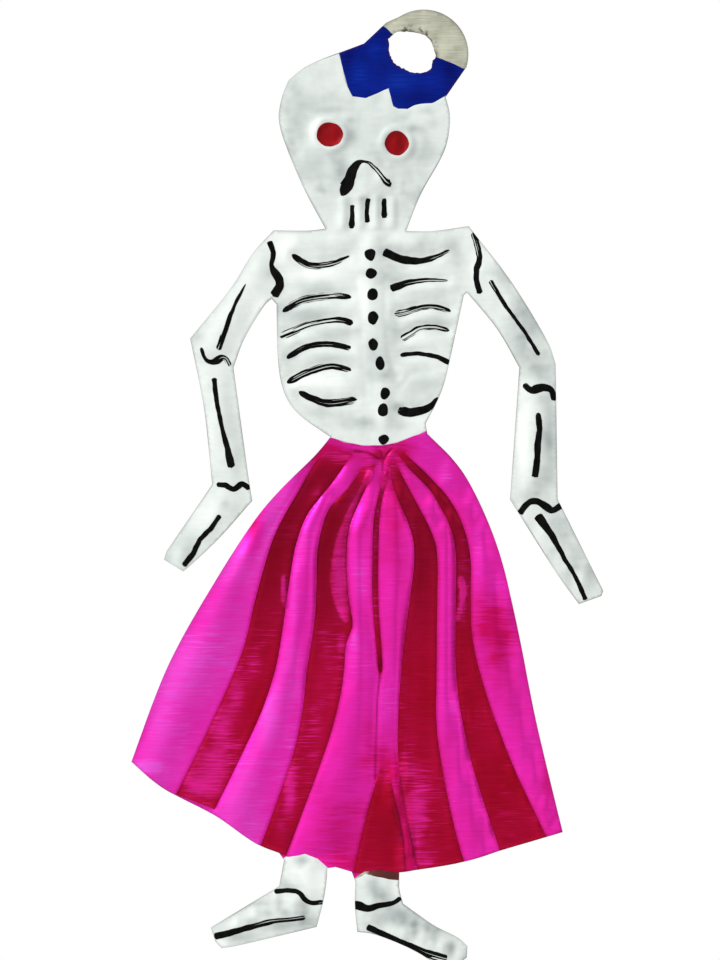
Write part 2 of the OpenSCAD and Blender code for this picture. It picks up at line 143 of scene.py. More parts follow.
def softened(loop, sharp_deg, step=FINE):
    """The loop as a smooth curve through its points; corners that turn more than sharp_deg stay sharp."""
    ahead = np.roll(loop, -1, 0) - loop
    length = np.hypot(*ahead.T)
    way = ahead / length[:, None]
    before = np.roll(way, 1, 0)
    turn = np.degrees(np.arccos(np.clip((way * before).sum(1), -1, 1)))
    middle = way + before
    middle /= np.hypot(*middle.T)[:, None] + TINY
    sharp = turn > sharp_deg
    shorter = 2 * np.minimum(length, np.roll(length, 1))
    points = []
    for i in range(len(loop)):
        j = (i + 1) % len(loop)
        leave = (way[i] if sharp[i] else middle[i]) * min(length[i], shorter[i])
        reach = (way[i] if sharp[j] else middle[j]) * min(length[i], shorter[j])
        for t in np.linspace(0, 1, max(1, math.ceil(length[i] / step)), endpoint=False):
            points.append(
                loop[i] * (2 * t**3 - 3 * t**2 + 1) + leave * (t**3 - 2 * t**2 + t)
                + loop[j] * (3 * t**2 - 2 * t**3) + reach * (t**3 - t**2)
            )
    return np.array(points)


# So many points are measured at once, to spare memory
BATCH = 4000


def segment_distance(points, loops, reach=1 * MM):
    """Distance from each point to the nearest stretch of the loops, no more than reach."""
    best = np.full(len(points), reach)
    for loop in loops:
        run = np.roll(loop, -1, 0) - loop
        for first in range(0, len(points), BATCH):
            batch = slice(first, first + BATCH)
            away = points[batch, None] - loop
            t = (away * run).sum(2) / ((run**2).sum(1) + TINY)
            gap = away - np.clip(t, 0, 1)[..., None] * run
            best[batch] = np.minimum(best[batch], np.sqrt((gap**2).sum(2)).min(1))
    return best


def inside(points, loops):
    """Which points are inside the loops, by counting crossings."""
    odd = np.zeros(len(points), bool)
    for loop in loops:
        for a, b in zip(loop, np.roll(loop, -1, 0)):
            if a[1] == b[1]:
                continue
            crosses = (a[1] > points[:, 1]) != (b[1] > points[:, 1])
            at = a[0] + (points[:, 1] - a[1]) * (b[0] - a[0]) / (b[1] - a[1])
            odd ^= crosses & (points[:, 0] < at)
    return odd


# Noise read this far away is unrelated to the noise read here
ELSEWHERE = Vector((5.3, 11.7, 2.9))


def ripple(x, z, size, seed):
    """Smooth noise between about -1 and 1, with features of about the given size."""
    return noise.noise(Vector((x / size, seed, z / size)))


def wobbled(loop, amount, size, seed, fixed):
    """The loop as a hand would paint it: moved about by smooth noise, apart from its fixed points."""
    moved = loop.copy()
    for i, (x, z) in enumerate(loop):
        if not fixed[i]:
            place = Vector((x / size, seed, z / size))
            moved[i] += amount * np.array((noise.noise(place), noise.noise(place + ELSEWHERE)))
    return moved


# ---- the relief

# The relief is kept on a grid of this step, which reaches this far past the figure
STEP = 0.25 * MM
PAD = 2 * MM
grid_x = np.arange(cad_low.x - PAD, cad_high.x + PAD, STEP)
grid_z = np.arange(cad_low.z - PAD, cad_high.z + PAD, STEP)
GX, GZ = np.meshgrid(grid_x, grid_z)


def blurred(field, radius):
    """The field smoothed by a bell curve of that radius."""
    reach = int(math.ceil(3 * radius / STEP))
    weights = np.exp(-0.5 * (np.arange(-reach, reach + 1) * STEP / radius) ** 2)
    weights /= weights.sum()
    for axis in (0, 1):
        field = sum(w * np.roll(field, k, axis) for k, w in zip(range(-reach, reach + 1), weights))
    return field


def cad_relief():
    """How far the CAD sheet's front stands out at every grid point, and where there is sheet."""
    corners = cad_corners(SHEET)
    tree = BVHTree.FromPolygons(
        [Vector(p) for p in corners.reshape(-1, 3)],
        [(i, i + 1, i + 2) for i in range(0, len(corners) * 3, 3)],
    )
    rise = np.zeros(GX.shape)
    there = np.zeros(GX.shape)
    start, way = cad_low.y - 10 * MM, Vector((0, 1, 0))
    for r, z in enumerate(grid_z):
        for c, x in enumerate(grid_x):
            hit = tree.ray_cast(Vector((x, start, z)), way)[0]
            if hit is not None:
                rise[r, c] = -hit.y - SHEET_T
                there[r, c] = 1
    return rise, there


def distance_to(loops, reach):
    """Distance from every grid point to the nearest of the loops, no more than reach."""
    out = np.full(GX.shape, reach)
    for loop in loops:
        for a, b in zip(loop, np.roll(loop, -1, 0)):
            low = np.minimum(a, b) - reach
            high = np.maximum(a, b) + reach
            cols = slice(*np.searchsorted(grid_x, (low[0], high[0])))
            rows = slice(*np.searchsorted(grid_z, (low[1], high[1])))
            dx, dz = GX[rows, cols] - a[0], GZ[rows, cols] - a[1]
            run = b - a
            t = np.clip((dx * run[0] + dz * run[1]) / (run @ run + TINY), 0, 1)
            gap = np.hypot(dx - t * run[0], dz - t * run[1])
            out[rows, cols] = np.minimum(out[rows, cols], gap)
    return out


def covered(loops):
    """Which grid points are inside the loops."""
    return inside(np.column_stack((GX.ravel(), GZ.ravel())), loops).reshape(GX.shape)


def signed(loops, reach):
    """Distance outside the loops at every grid point, negative inside them."""
    gap = distance_to(loops, reach)
    return np.where(covered(loops), -gap, gap)


def bell(distance, width):
    """1 where the distance is 0, falling away smoothly over about the width."""
    return np.exp(-((distance / width) ** 2))


def smooth(value, low, high):
    """0 below low, 1 above high and a smooth climb between them."""
    t = np.clip((value - low) / (high - low), 0, 1)
    return t * t * (3 - 2 * t)


def sample(field, points):
    """The field's value at each (x, z), between its grid points."""
    c = np.clip((points[:, 0] - grid_x[0]) / STEP, 0, len(grid_x) - 1.001)
    r = np.clip((points[:, 1] - grid_z[0]) / STEP, 0, len(grid_z) - 1.001)
    c0, r0 = c.astype(int), r.astype(int)
    u, v = c - c0, r - r0
    return (
        field[r0, c0] * (1 - u) * (1 - v) + field[r0, c0 + 1] * u * (1 - v)
        + field[r0 + 1, c0] * (1 - u) * v + field[r0 + 1, c0 + 1] * u * v
    )


NODES = list(frame["nodes"])
slot_of = {s["node"]: s["material_slot"] for s in frame["record"]["subparts"]}
PLEATS = [n for n in NODES if slot_of[n] == "crimson_lacquer"]
EYES = [n for n in NODES if slot_of[n] == "red_enamel"]
BRUSHED = [n for n in NODES if slot_of[n] == "black_paint"]
RIBS = [n for n in BRUSHED if n.startswith(("rib_strokes", "collarbone", "teeth"))]
drawn = {n: outlines(n) for n in NODES}

# Corners that turn more than this many degrees stay sharp: in the cut sheet and the paint that ends
# with it, in the pressed edges of pleats, in the paint of pleats, and nowhere in what is round
SHARP, PRESSED, PLEATED, ROUND = 17, 60, 40, 180
MOUNTS = {m["name"]: m for m in frame["record"]["mounts"]}
EYE_R = MOUNTS["hanging_eye"]["dims"]["r_mm"] * MM

# The punched eye as it was really torn out: distance from its middle (mm) at turns from +X (degrees)
TORN = [
    (5, 3.67), (37, 3.56), (60, 3.34), (80, 3.16), (108, 3.39), (122, 3.87), (131, 4.13), (139, 3.97),
    (150, 4.27), (158, 3.80), (167, 3.63), (188, 3.41), (219, 3.10), (248, 2.84), (274, 3.28), (297, 3.70),
    (314, 4.10), (329, 3.98), (337, 3.66), (346, 3.96), (353, 3.96),
]
# How near the eye's circle a point is on it, and how ragged its torn edge is
ON_EYE = 0.15 * MM
TORN_EDGE = 0.16 * MM


def torn_eye(loop):
    """The part of the loop on the eye's circle moved out or in to its torn rim, with a ragged edge."""
    turns, reaches = zip(*TORN)
    ragged = loop.copy()
    for i, (x, z) in enumerate(loop):
        if abs(math.hypot(x, z) - EYE_R) < ON_EYE:
            turn = math.atan2(z, x)
            reach = np.interp(math.degrees(turn) % 360, turns, reaches, period=360) * MM
            quick = noise.noise(Vector((11 * math.cos(turn), 11 * math.sin(turn), 8.0)))
            ragged[i] = np.array((math.cos(turn), math.sin(turn))) * (reach + TORN_EDGE * quick)
    return ragged


sheet_loops = [torn_eye(softened(loop, SHARP)) for loop in drawn[SHEET]]

# Places are given as on the part's own drawing, this tall and with its hanging eye this far from x = 0
DRAWN_H = 152.4
DRAWN_EYE_X = 6.5
FIGURE_H = cad_high.z - cad_low.z
UNIT = FIGURE_H / DRAWN_H
EYE_X = DRAWN_EYE_X * UNIT


def spot(x, z):
    """A place on the drawing, x and z from the soles in its millimetres, as (x, z) here."""
    return np.array((x * UNIT - EYE_X, cad_low.z + z * UNIT))


def spots(places):
    """Several places on the drawing."""
    return np.array([spot(*place) for place in places])


def cloudy(size, seed):
    """Ripples over the whole grid."""
    return np.array([[ripple(x, z, size, seed) for x in grid_x] for z in grid_z])


# Stretches and squeezes patches, so that they aren't plain ovals
unsteady = 1 + 0.8 * cloudy(2.6 * MM, 2.3) + 0.4 * cloudy(1.0 * MM, 6.1)
# In half-widths of a patch: over how far it falls away, and where it ends
PATCH_FALL, PATCH_END = 1.15, 3


def washed(washes, ragged=1.0):
    """Field of soft, uneven patches, each given as x, z, half-width, half-height and strength."""
    field = np.zeros(GX.shape)
    stretch = 1 + ragged * (unsteady - 1)
    for x, z, wide, tall, strength in washes:
        at, half = spot(x, z), np.array((wide, tall)) * UNIT
        (left, right), (low, high) = zip(at - PATCH_END * half, at + PATCH_END * half)
        box = slice(*np.searchsorted(grid_z, (low, high))), slice(*np.searchsorted(grid_x, (left, right)))
        far = np.hypot((GX[box] - at[0]) / half[0], (GZ[box] - at[1]) / half[1])
        field[box] += strength * bell(far * stretch[box], PATCH_FALL)
    return field


def creased(lines, width):
    """Field that is 1 along each line of points and falls away within about the width."""
    paths = [spots(line + line[-2:0:-1]) for line in lines]
    return bell(distance_to(paths, 3 * width), width)


# Bare creases of the skirt: down its middle, and gathered at the waist
SKIRT_CREASES = [
    [(1.6, 46.8), (1.1, 42), (0.9, 35), (0.8, 29.5)],
    [(1.5, 82), (2, 80.6), (1.9, 78.8)],
    [(-2.6, 81.9), (-0.4, 81.6), (1.6, 80.6)],
    [(3.4, 82.2), (2.6, 81.4), (2.2, 80.4)],
]
# Leaf-shaped folds beside the pleats, rubbed thinner than the pleats themselves
SKIRT_LEAVES = [
    [
        (0.2, 79), (-2, 75.6), (-4.4, 71.2), (-5.8, 67.5), (-6.6, 63), (-6.6, 60), (-5.6, 56.6),
        (-3.7, 54.2), (-3.2, 56.9), (-3.7, 64), (-3.2, 69.5), (-1.6, 74.4),
    ],
    [(-13.9, 62.2), (-14.5, 59.8), (-14.3, 57.6), (-13.5, 56.6), (-13.3, 59.6)],
    [(14.4, 62), (14.1, 58), (13.8, 54.4), (15, 57.2), (15.6, 59.4)],
]
# Long shallow tool marks round the belly and beside the breastbone
BODY_CREASES = [
    [(-12, 91.2), (-9.3, 88.5), (-5.2, 86.6), (-0.5, 86)],
    [(-10.2, 88.9), (-7, 86.7), (-2.8, 85.2)],
    [(-2.2, 109.3), (-1.3, 104.5), (-1.2, 97), (-0.6, 90.5)],
    [(2.4, 109), (2.3, 103.6), (3, 97), (4.2, 93.6)],
    [(4.8, 92), (6.6, 94.3), (9.6, 94.4)],
]
# Most pleats have no hard upper end: they fade out, 1 where they do
PLEAT_FADES = [
    (2.3, 30.9, 2.8, 2, 1.6), (-8.5, 81.4, 3.6, 1.1, 1.2), (-4.2, 81.2, 1.6, 1.2, 1.4),
    (-0.9, 78.6, 1.8, 1.6, 1.5), (3, 79.6, 0.9, 0.9, 1.2), (1.9, 77.2, 0.7, 1, 1),
    (5.2, 80.8, 1.2, 0.8, 1.2), (1.6, 46.3, 0.6, 0.7, 1.2),
]
faded_ends = np.clip(washed(PLEAT_FADES, 0.3), 0, 1)


def leafy(fade):
    """Field that is 1 inside the skirt's leaf-shaped folds and fades to 0 over the given width."""
    loops = [softened(spots(leaf), ROUND) for leaf in SKIRT_LEAVES]
    return 1 - smooth(signed(loops, 1.5 * MM), -fade, 0.1 * MM)


CAD_BLUR = 0.45 * MM
# How deep or high each kind of mark is
PLEAT_LINE = 0.22 * MM
CREASE = 0.28 * MM
LEAF = 0.20 * MM
BODY_CREASE = 0.16 * MM
FURROW = 0.25 * MM
EYE_RING = 0.34 * MM
EYE_DISH = 0.30 * MM
NOSE_FACET = 0.35 * MM
TOOTH_BAR = 0.36 * MM
TOE = 0.42 * MM
PUNCH_LIP = 0.12 * MM
WAVE = 0.14 * MM
# Waves from handling are this long, and worked out on every few grid points
WAVE_LENGTH, WAVE_SKIP = 9 * MM, 8
# The outer two of the teeth's lines are this many bars apart
BARS_APART = 2.32


def add_relief():
    """The CAD sheet's embossing, smoothed, with the marks of the embosser's smaller tools."""
    rise, there = cad_relief()
    rise = blurred(rise, CAD_BLUR) / np.maximum(blurred(there, CAD_BLUR), 0.05)

    # Pleats: a narrow pressed line along each edge, and bare creases between them
    for name in PLEATS:
        pressed = bell(distance_to([softened(l, PRESSED) for l in drawn[name]], 1.2 * MM), 0.32 * MM)
        rise -= PLEAT_LINE * pressed * (1 - faded_ends)
    rise -= CREASE * creased(SKIRT_CREASES, 0.35 * MM)
    rise += LEAF * leafy(0.9 * MM)
    rise -= BODY_CREASE * creased(BODY_CREASES, 0.5 * MM)

    # Lines of ribs, collarbones and teeth lie in shallow furrows
    for name in RIBS:
        rise -= FURROW * (1 - smooth(signed(drawn[name], 1.4 * MM), 0, 1.1 * MM))

    # Eyes: a raised ring round a shallow dish
    for name in EYES:
        outside = signed([softened(l, ROUND) for l in drawn[name]], 2.5 * MM)
        rise += EYE_RING * bell(outside - 0.5 * MM, 0.5 * MM)
        rise -= EYE_DISH * (1 - smooth(outside, -0.8 * MM, 0.2 * MM))

    # Nose: the flat facet inside its line is pushed up towards the right
    rise += NOSE_FACET * np.clip(washed([(1.3, 125.9, 1.3, 1.3, 1.0), (-1.2, 125.4, 0.9, 2.0, 0.4)]), 0, 1)

    # Teeth: upright bars between the lines
    low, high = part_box("teeth_strokes")
    pitch = (high.x - low.x) / BARS_APART
    phase = (GX - low.x - 0.4 * MM) / pitch
    bars = 0.5 - 0.5 * np.cos(2 * math.pi * phase)
    bars *= smooth(GX, low.x - 1.9 * MM, low.x - 1.4 * MM)
    bars *= 1 - smooth(GX, high.x + 1.4 * MM, high.x + 1.9 * MM)
    bars *= smooth(GZ, low.z - 0.5 * MM, low.z + 0.4 * MM)
    bars *= 1 - smooth(GZ, high.z - 0.1 * MM, high.z + 0.8 * MM)
    rise += TOOTH_BAR * bars

    # Toes: a row of small raised bumps along each foot
    toes = [(5.3, 4.6), (8.2, 3.7), (11.3, 2.4), (14.0, 0.9)]
    toes += [(-21.3, 6.4), (-18.4, 7.6), (-15.0, 9.2), (-12.3, 9.5)]
    rise += TOE * washed([(x, z, 0.65, 0.95, 1.0) for x, z in toes])

    # The punch has left a low lip round the hanging eye
    rise += PUNCH_LIP * bell(np.hypot(GX, GZ) - EYE_R - 0.25 * MM, 0.35 * MM)

    # The sheet isn't dead flat
    waves = np.zeros(GX.shape)
    for r in range(0, len(grid_z), WAVE_SKIP):
        for c in range(0, len(grid_x), WAVE_SKIP):
            height = ripple(grid_x[c], grid_z[r], WAVE_LENGTH, 3.1)
            waves[r : r + WAVE_SKIP, c : c + WAVE_SKIP] = height
    rise += WAVE * blurred(waves, 1.6 * MM)
    return rise


relief = add_relief()

# White enamel: above 0 it is thin and grey, below 0 it is thick and bright. The patches are partly thin
# enamel and partly painted light: painted shade and reflections on the relief, and painted highlights such
# as on the nose's facet
ENAMEL_THIN_AND_SHADE = [
    (-9.5, 137.5, 3.2, 2, 0.3), (-12, 134.3, 1.2, 2, 0.35), (-6.5, 136.4, 2, 0.6, 0.25),
    (-9.6, 127, 2.2, 2, 0.3), (-13, 130.5, 0.8, 1.5, 0.3), (-7.8, 123.6, 0.8, 0.5, 0.35),
    (-3.2, 134.6, 0.9, 0.6, 0.4), (-2.9, 132.2, 1.1, 1.2, 0.35), (-4.6, 126.5, 1.2, 2.6, 0.36),
    (6.8, 133.4, 1.2, 0.6, 0.45), (5.2, 135.2, 1, 0.6, 0.28), (8.7, 136.2, 1.2, 0.5, 0.28),
    (8.6, 129.6, 1.8, 2.2, 0.4), (7.2, 122.6, 1, 0.9, 0.3), (-1.2, 122.2, 1.8, 0.6, 0.35),
    (-8.9, 133.4, 0.7, 1.6, -0.35), (7.6, 131.4, 0.6, 1.5, -0.3), (1.4, 125.8, 0.9, 1.2, -0.35),
    (2.9, 113.9, 1.6, 1.2, 0.38), (8.3, 114.8, 1.4, 1.4, 0.3), (13.2, 114.2, 1.2, 1.6, 0.35),
    (-8.5, 107.9, 3.2, 1, 0.3), (-11.3, 103.7, 3.4, 1.3, 0.45), (-4.5, 101, 3.2, 0.9, 0.3),
    (2.5, 109.8, 1.4, 1.2, 0.48), (-0.8, 110.4, 1, 0.6, 0.3), (-0.3, 95.5, 1.1, 4, 0.3),
    (3.2, 99.5, 1.5, 3, 0.26), (10, 107.2, 3, 1, 0.25), (9.4, 102.2, 3, 0.9, 0.3),
    (4.2, 89, 1.2, 0.8, 0.5), (7.4, 92.5, 2.4, 2.4, 0.25), (4.5, 85.9, 1.2, 0.8, 0.28),
    (-3, 86.1, 3, 0.7, 0.28), (-8.2, 88, 2.6, 0.8, 0.28), (0.3, 86.5, 0.8, 1, 0.3),
    (2.4, 94, 2, 0.6, 0.3), (-12.4, 96.8, 1.4, 1.2, 0.35), (-6.7, 96.7, 4, 0.8, 0.25),
    (-15.9, 110.2, 0.9, 0.9, 0.4), (-14.2, 114.5, 1.4, 2, -0.35), (-9.5, 110.1, 4, 0.9, -0.3),
    (-2, 107, 1.6, 2, -0.2), (-8, 92.9, 4, 0.9, -0.25), (8, 86.2, 1.3, 0.8, -0.2),
    (-18.2, 104.8, 1.4, 3.4, -0.25), (-26.2, 85, 1, 6, -0.15), (-27.3, 72, 1.6, 3, -0.2),
    (-27.6, 100, 0.8, 0.7, 0.25), (-23.2, 73.5, 0.6, 0.7, 0.28), (-29.6, 66.5, 1, 2, 0.25),
    (-32.2, 64.8, 0.8, 0.8, 0.3), (-22.2, 86, 1.2, 5, 0.14), (21.8, 109.8, 1.5, 2, 0.42),
    (24.8, 104.8, 1.5, 2.5, 0.42), (26.6, 101.2, 1.6, 2, 0.36), (23.2, 100.6, 1.5, 2.2, 0.28),
    (26.9, 94.9, 2.2, 1.5, 0.5), (24.4, 97.2, 1.2, 1.5, 0.3), (28.5, 84.5, 1.2, 5.5, 0.46),
    (28.7, 83.2, 0.8, 1.2, 0.25), (27.8, 77, 1.8, 2, 0.36), (25, 74.6, 1.2, 1, 0.32),
    (24.1, 84, 0.9, 6, -0.35), (16.5, 111.5, 0.9, 2.6, -0.15), (29.8, 70.6, 1.6, 2, 0.38),
    (32.3, 66.2, 1.6, 1.8, 0.32), (35, 62.8, 1.1, 1.5, 0.42), (31.6, 61.6, 0.9, 1.6, 0.36),
    (-10, 14.9, 2.6, 1.8, -0.4), (-9, 12.9, 1.6, 1.4, -0.3), (-10.9, 16.5, 0.9, 0.7, 0.75),
    (-13.7, 12.6, 0.7, 0.8, 0.4), (-12.5, 12.2, 0.9, 0.4, 0.4), (-16.4, 8, 1, 0.9, 0.45),
    (-13.6, 8.1, 1, 0.7, 0.5), (-10.7, 8.4, 0.5, 1.5, 0.45), (-19.6, 6.8, 0.7, 0.5, 0.4),
    (-13.5, 6.1, 3.5, 0.9, 0.48), (-9.6, 7, 1, 1, 0.3), (-20.5, 4.1, 2.5, 0.8, 0.4),
    (-18.5, 9.6, 4, 0.4, 0.3), (-23.8, 3.2, 0.9, 0.7, -0.4), (0.4, 12.3, 1.1, 1.5, 0.5),
    (1.6, 10.8, 1.2, 0.8, 0.6), (4.1, 12, 0.6, 1.2, -0.25), (3, 8, 2.4, 1.4, 0.38),
    (5.8, 7.2, 1.6, 1.4, 0.38), (1.2, 6.9, 1.2, 1.2, 0.28), (7, 4.9, 0.6, 1, 0.6),
    (10.2, 4, 0.8, 1.5, 0.4), (12.9, 2.3, 0.6, 1.1, 0.7), (9, 6, 1.6, 0.7, 0.36),
    (12, 4.6, 1.6, 0.9, 0.22), (15.2, 0.8, 0.4, 1.4, 0.4), (-1, 130, 9, 8, 0.22),
    (-31, 68, 4, 5, 0.13),
]
# Magenta lacquer: 0 is pale and violet, 1 is deep rose. Pale patches are painted highlights, such as on the
# hem's lower left, and deep ones painted shade, both partly uneven lacquer
MAGENTA_HIGHLIGHTS_AND_SHADE = [
    (19.5, 54, 2.7, 3.6, 0.85), (20.8, 49.5, 2.2, 3, 0.35), (-5.4, 20.5, 4.5, 6, 0.58),
    (3.6, 70, 1.9, 7, 0.5), (-0.6, 36.5, 1.2, 5, 0.34), (2.4, 32, 1.8, 3.8, 0.6),
    (-8.8, 82, 3.6, 1.6, 0.95), (0.4, 81.2, 2.6, 0.8, 0.5), (4.4, 82.4, 2.4, 0.8, 0.55),
    (-18.6, 70.5, 1.1, 3.6, 0.85), (1.9, 80.9, 0.7, 0.9, 0.6), (28.4, 30, 0.8, 4, 0.4),
    (17.4, 57.5, 1.4, 3, 0.25), (-1.2, 72, 1.6, 5, 0.22), (4.9, 25.5, 0.9, 5, 1),
    (6.2, 18, 0.9, 4.2, 1.2), (-3, 16, 5, 1.2, 0.35), (-12.2, 58, 0.7, 5, -0.22),
    (-16.2, 40, 1.4, 4, -0.22), (-16.5, 28, 2, 5, 0.22), (-1.8, 61, 1, 4.5, -0.25),
    (-2.6, 52.4, 0.8, 1.6, -0.35), (-30.5, 46, 3.4, 9, -0.12), (-27.3, 26.9, 1.6, 0.7, -0.9),
    (-35.8, 31.4, 1.6, 0.8, -0.8), (12.2, 79, 1, 3.6, -0.2), (17.2, 68, 0.9, 5, -0.15),
    (12.4, 62, 0.7, 8, -0.1), (2.2, 40.5, 0.7, 3.6, -0.15),
]
# Crimson lacquer: 0 is full and deep, 1 is rubbed so thin that the magenta shows. The patches are partly
# rubbed lacquer and partly painted highlights, such as low on the outer left pleat
CRIMSON_THIN_AND_HIGHLIGHTS = [
    (-25.4, 30.5, 2.8, 4.2, 0.9), (-23.6, 38, 1.8, 4.5, 0.55), (-21.2, 43, 1.3, 3.6, 0.75),
    (-28.2, 28.4, 1.6, 1.6, 0.6), (-18.9, 48, 1.3, 2.2, 0.42), (-13.7, 59.8, 0.6, 2.4, 0.5),
    (-6.6, 81.4, 3.2, 1, 0.3), (-4.9, 61.5, 0.9, 6, 0.62), (-3.4, 71.5, 1, 3.6, 0.35),
    (-2.4, 75, 1.1, 2.6, 0.35), (0.1, 78.8, 0.9, 1.3, 0.3), (-4.6, 50.8, 0.6, 1.6, 0.6),
    (-8.6, 37, 1.3, 9, 0.26), (-6.4, 48.5, 1.4, 5, 0.25), (-12.9, 27.4, 0.9, 3.4, 1),
    (-14.4, 22.4, 1.1, 2.4, 0.46), (1, 70, 1.2, 6, 0.42), (0.9, 59, 0.7, 5, 0.25),
    (1.9, 76.5, 0.8, 2.2, 0.55), (2.3, 31.2, 2.8, 2.4, 0.25), (5.2, 22, 0.8, 6, 0.4),
    (6.1, 35, 1.3, 6, 0.34), (7.6, 25.5, 1.6, 4, 0.55), (7.2, 21, 1.4, 4.2, 0.48),
    (8.8, 16.6, 1.6, 1.4, 0.7), (3.6, 78.6, 0.9, 1.4, 0.3), (14.7, 58.2, 0.5, 2.4, 1.1),
    (15.1, 64, 0.8, 4, 0.18), (20, 40, 1.4, 6, 0.1),
]
# Blue lacquer: 0 is deep, 1 is thin and lighter. The patches are partly uneven lacquer and partly painted
# shading: lighter across the middle, darker at the left and the edges
BLUE_THIN_AND_SHADING = [
    (-2, 141.8, 1.6, 2.4, 0.5), (4.4, 140.8, 2.2, 1.4, 0.45), (9.8, 141.2, 2.2, 1.6, 0.25),
    (0.8, 146.2, 1.4, 1.4, 0.35), (-3.6, 145, 0.7, 2.6, -0.25), (12.6, 142.6, 1, 1.6, -0.25),
    (6.5, 138.6, 3, 0.6, -0.2),
]
# Dark patches under the waist and on the skirt: painted shade, partly gathers and smears of lacquer
WAIST_SHADE = [
    (-8.6, 81, 3.6, 0.8, 0.2), (-3, 81.8, 2.6, 0.5, 0.4), (0.9, 80.6, 0.8, 0.9, 0.55),
    (1.5, 47.6, 0.5, 1.8, 0.6), (3.2, 81.6, 1, 0.6, 0.45), (-2.4, 77.4, 0.8, 2, 0.3),
    (-10.5, 77, 2, 3, 0.25), (-18.6, 71.5, 1, 3.2, 0.25), (8.6, 76.5, 0.8, 3, 0.2),
    (-13.5, 20.5, 1.4, 2.6, 0.3), (2.4, 22, 2.4, 4, 0.25), (4.6, 25, 0.8, 5, 0.4),
    (6.4, 18, 0.9, 4, 0.4),
]
enamel_thin_and_shade = 1.25 * washed(ENAMEL_THIN_AND_SHADE, 0.65)
blue_thin_and_shading = washed(BLUE_THIN_AND_SHADING, 0.4)
soft_ends = blurred(faded_ends, 0.8 * MM)
# Painted highlights and shade of the magenta, and deeper rose towards the right
magenta_tone_and_light = washed(MAGENTA_HIGHLIGHTS_AND_SHADE, 0.35) + 0.03 + 0.26 * smooth(GX, spot(-16, 0)[0], spot(0, 0)[0])
pleat_loops = [softened(loop, PRESSED) for name in PLEATS for loop in drawn[name]]
# Deeper rose beside the pleats: painted shade, partly lacquer gathered at their edges
magenta_tone_and_light += 0.30 * bell(distance_to(pleat_loops, 1 * MM), 0.4 * MM) + 0.25 * soft_ends
crimson_thin_and_highlights = washed(CRIMSON_THIN_AND_HIGHLIGHTS, 0.35) + 0.42 * leafy(0.3 * MM) + 0.30 * soft_ends
# Painted shade in the pressed lines and creases and round the leaves and the waist, partly lacquer that
# gathers there and dries darker: 1 is darkest
pooled_and_shade = 0.6 * bell(distance_to(pleat_loops, 0.8 * MM), 0.17 * MM) * (1 - faded_ends)
pooled_and_shade = np.maximum(pooled_and_shade, 0.7 * creased(SKIRT_CREASES, 0.2 * MM)) + washed(WAIST_SHADE, 0.5)
pooled_and_shade += 0.6 * bell(distance_to(drawn["white_enamel_upper"], 0.8 * MM), 0.13 * MM)
pooled_and_shade = np.maximum(pooled_and_shade, 0.6 * bell(np.abs(leafy(0.4 * MM) - 0.35), 0.3))
# The pleats are darkest near the waist
crimson_shade_and_pooled = pooled_and_shade + 0.40 * smooth(GZ, spot(0, 44)[1], spot(0, 68)[1]) * (1 - soft_ends)
# The bare tin above the right ankle is coloured brown here
tin_brown_patch = washed([(2.6, 14.2, 2.4, 0.9, 2.0), (0.0, 14.5, 0.8, 0.5, 0.8)])

# ---- closed shells

# Rows of a staggered lattice are this share of its pitch apart
ROW = math.sqrt(0.75)


def lattice(loops, pitch):
    """Staggered points inside the loops, clear of them by about half the pitch."""
    joined = np.vstack(loops) / pitch
    low, high = joined.min(0), joined.max(0)
    rows = range(math.floor(low[1] / ROW), math.ceil(high[1] / ROW) + 1)
    cols = range(math.floor(low[0]) - 1, math.ceil(high[0]) + 1)
    points = np.array([((c + 0.5 * (r % 2)) * pitch, r * pitch * ROW) for r in rows for c in cols])
    points = points[inside(points, loops)]
    return points[segment_distance(points, loops, pitch * 2) > 0.55 * pitch]


# A ring of points this far inside an outline carries its rounded edge
RING = 0.12 * MM


def left_of(path, closed=True):
    """Unit vectors to the left of a line of points, at each of them."""
    after, before = np.roll(path, -1, 0), np.roll(path, 1, 0)
    if not closed:
        after[-1], before[0] = path[-1], path[0]
    run = after - before
    run /= np.hypot(*run.T)[:, None] + TINY
    return np.column_stack((-run[:, 1], run[:, 0]))


def inner_ring(loops):
    """Points a little inside the loops, so that an edge can be rounded over a short distance."""
    ring = np.vstack([loop + RING * left_of(loop) for loop in loops])
    ring = ring[inside(ring, loops)]
    return ring[segment_distance(ring, loops) > 0.9 * RING]


def triangulated(loops, pitch, extra):
    """Points and triangles that fill the loops, on a lattice of that pitch and the extra points."""
    rings, edges = [], []
    for loop in loops:
        n = len(rings)
        rings.extend(loop)
        edges.extend((n + i, n + (i + 1) % len(loop)) for i in range(len(loop)))
    extra = extra[inside(extra, loops)]
    extra = extra[segment_distance(extra, loops) > 0.5 * RING]
    points = np.vstack([np.array(rings), inner_ring(loops), lattice(loops, pitch), extra]) / MM
    made = geometry.delaunay_2d_cdt([Vector(p) for p in points], edges, [], 0, 1e-5)
    flat = np.array([tuple(v) for v in made[0]]) * MM
    faces = np.array([f for f in made[2] if len(f) == 3])
    keep = inside(flat[faces].mean(1), loops)
    return flat, faces[keep]


# Smooth shading stops where faces meet at more than this many degrees
RIM_ANGLE = 50


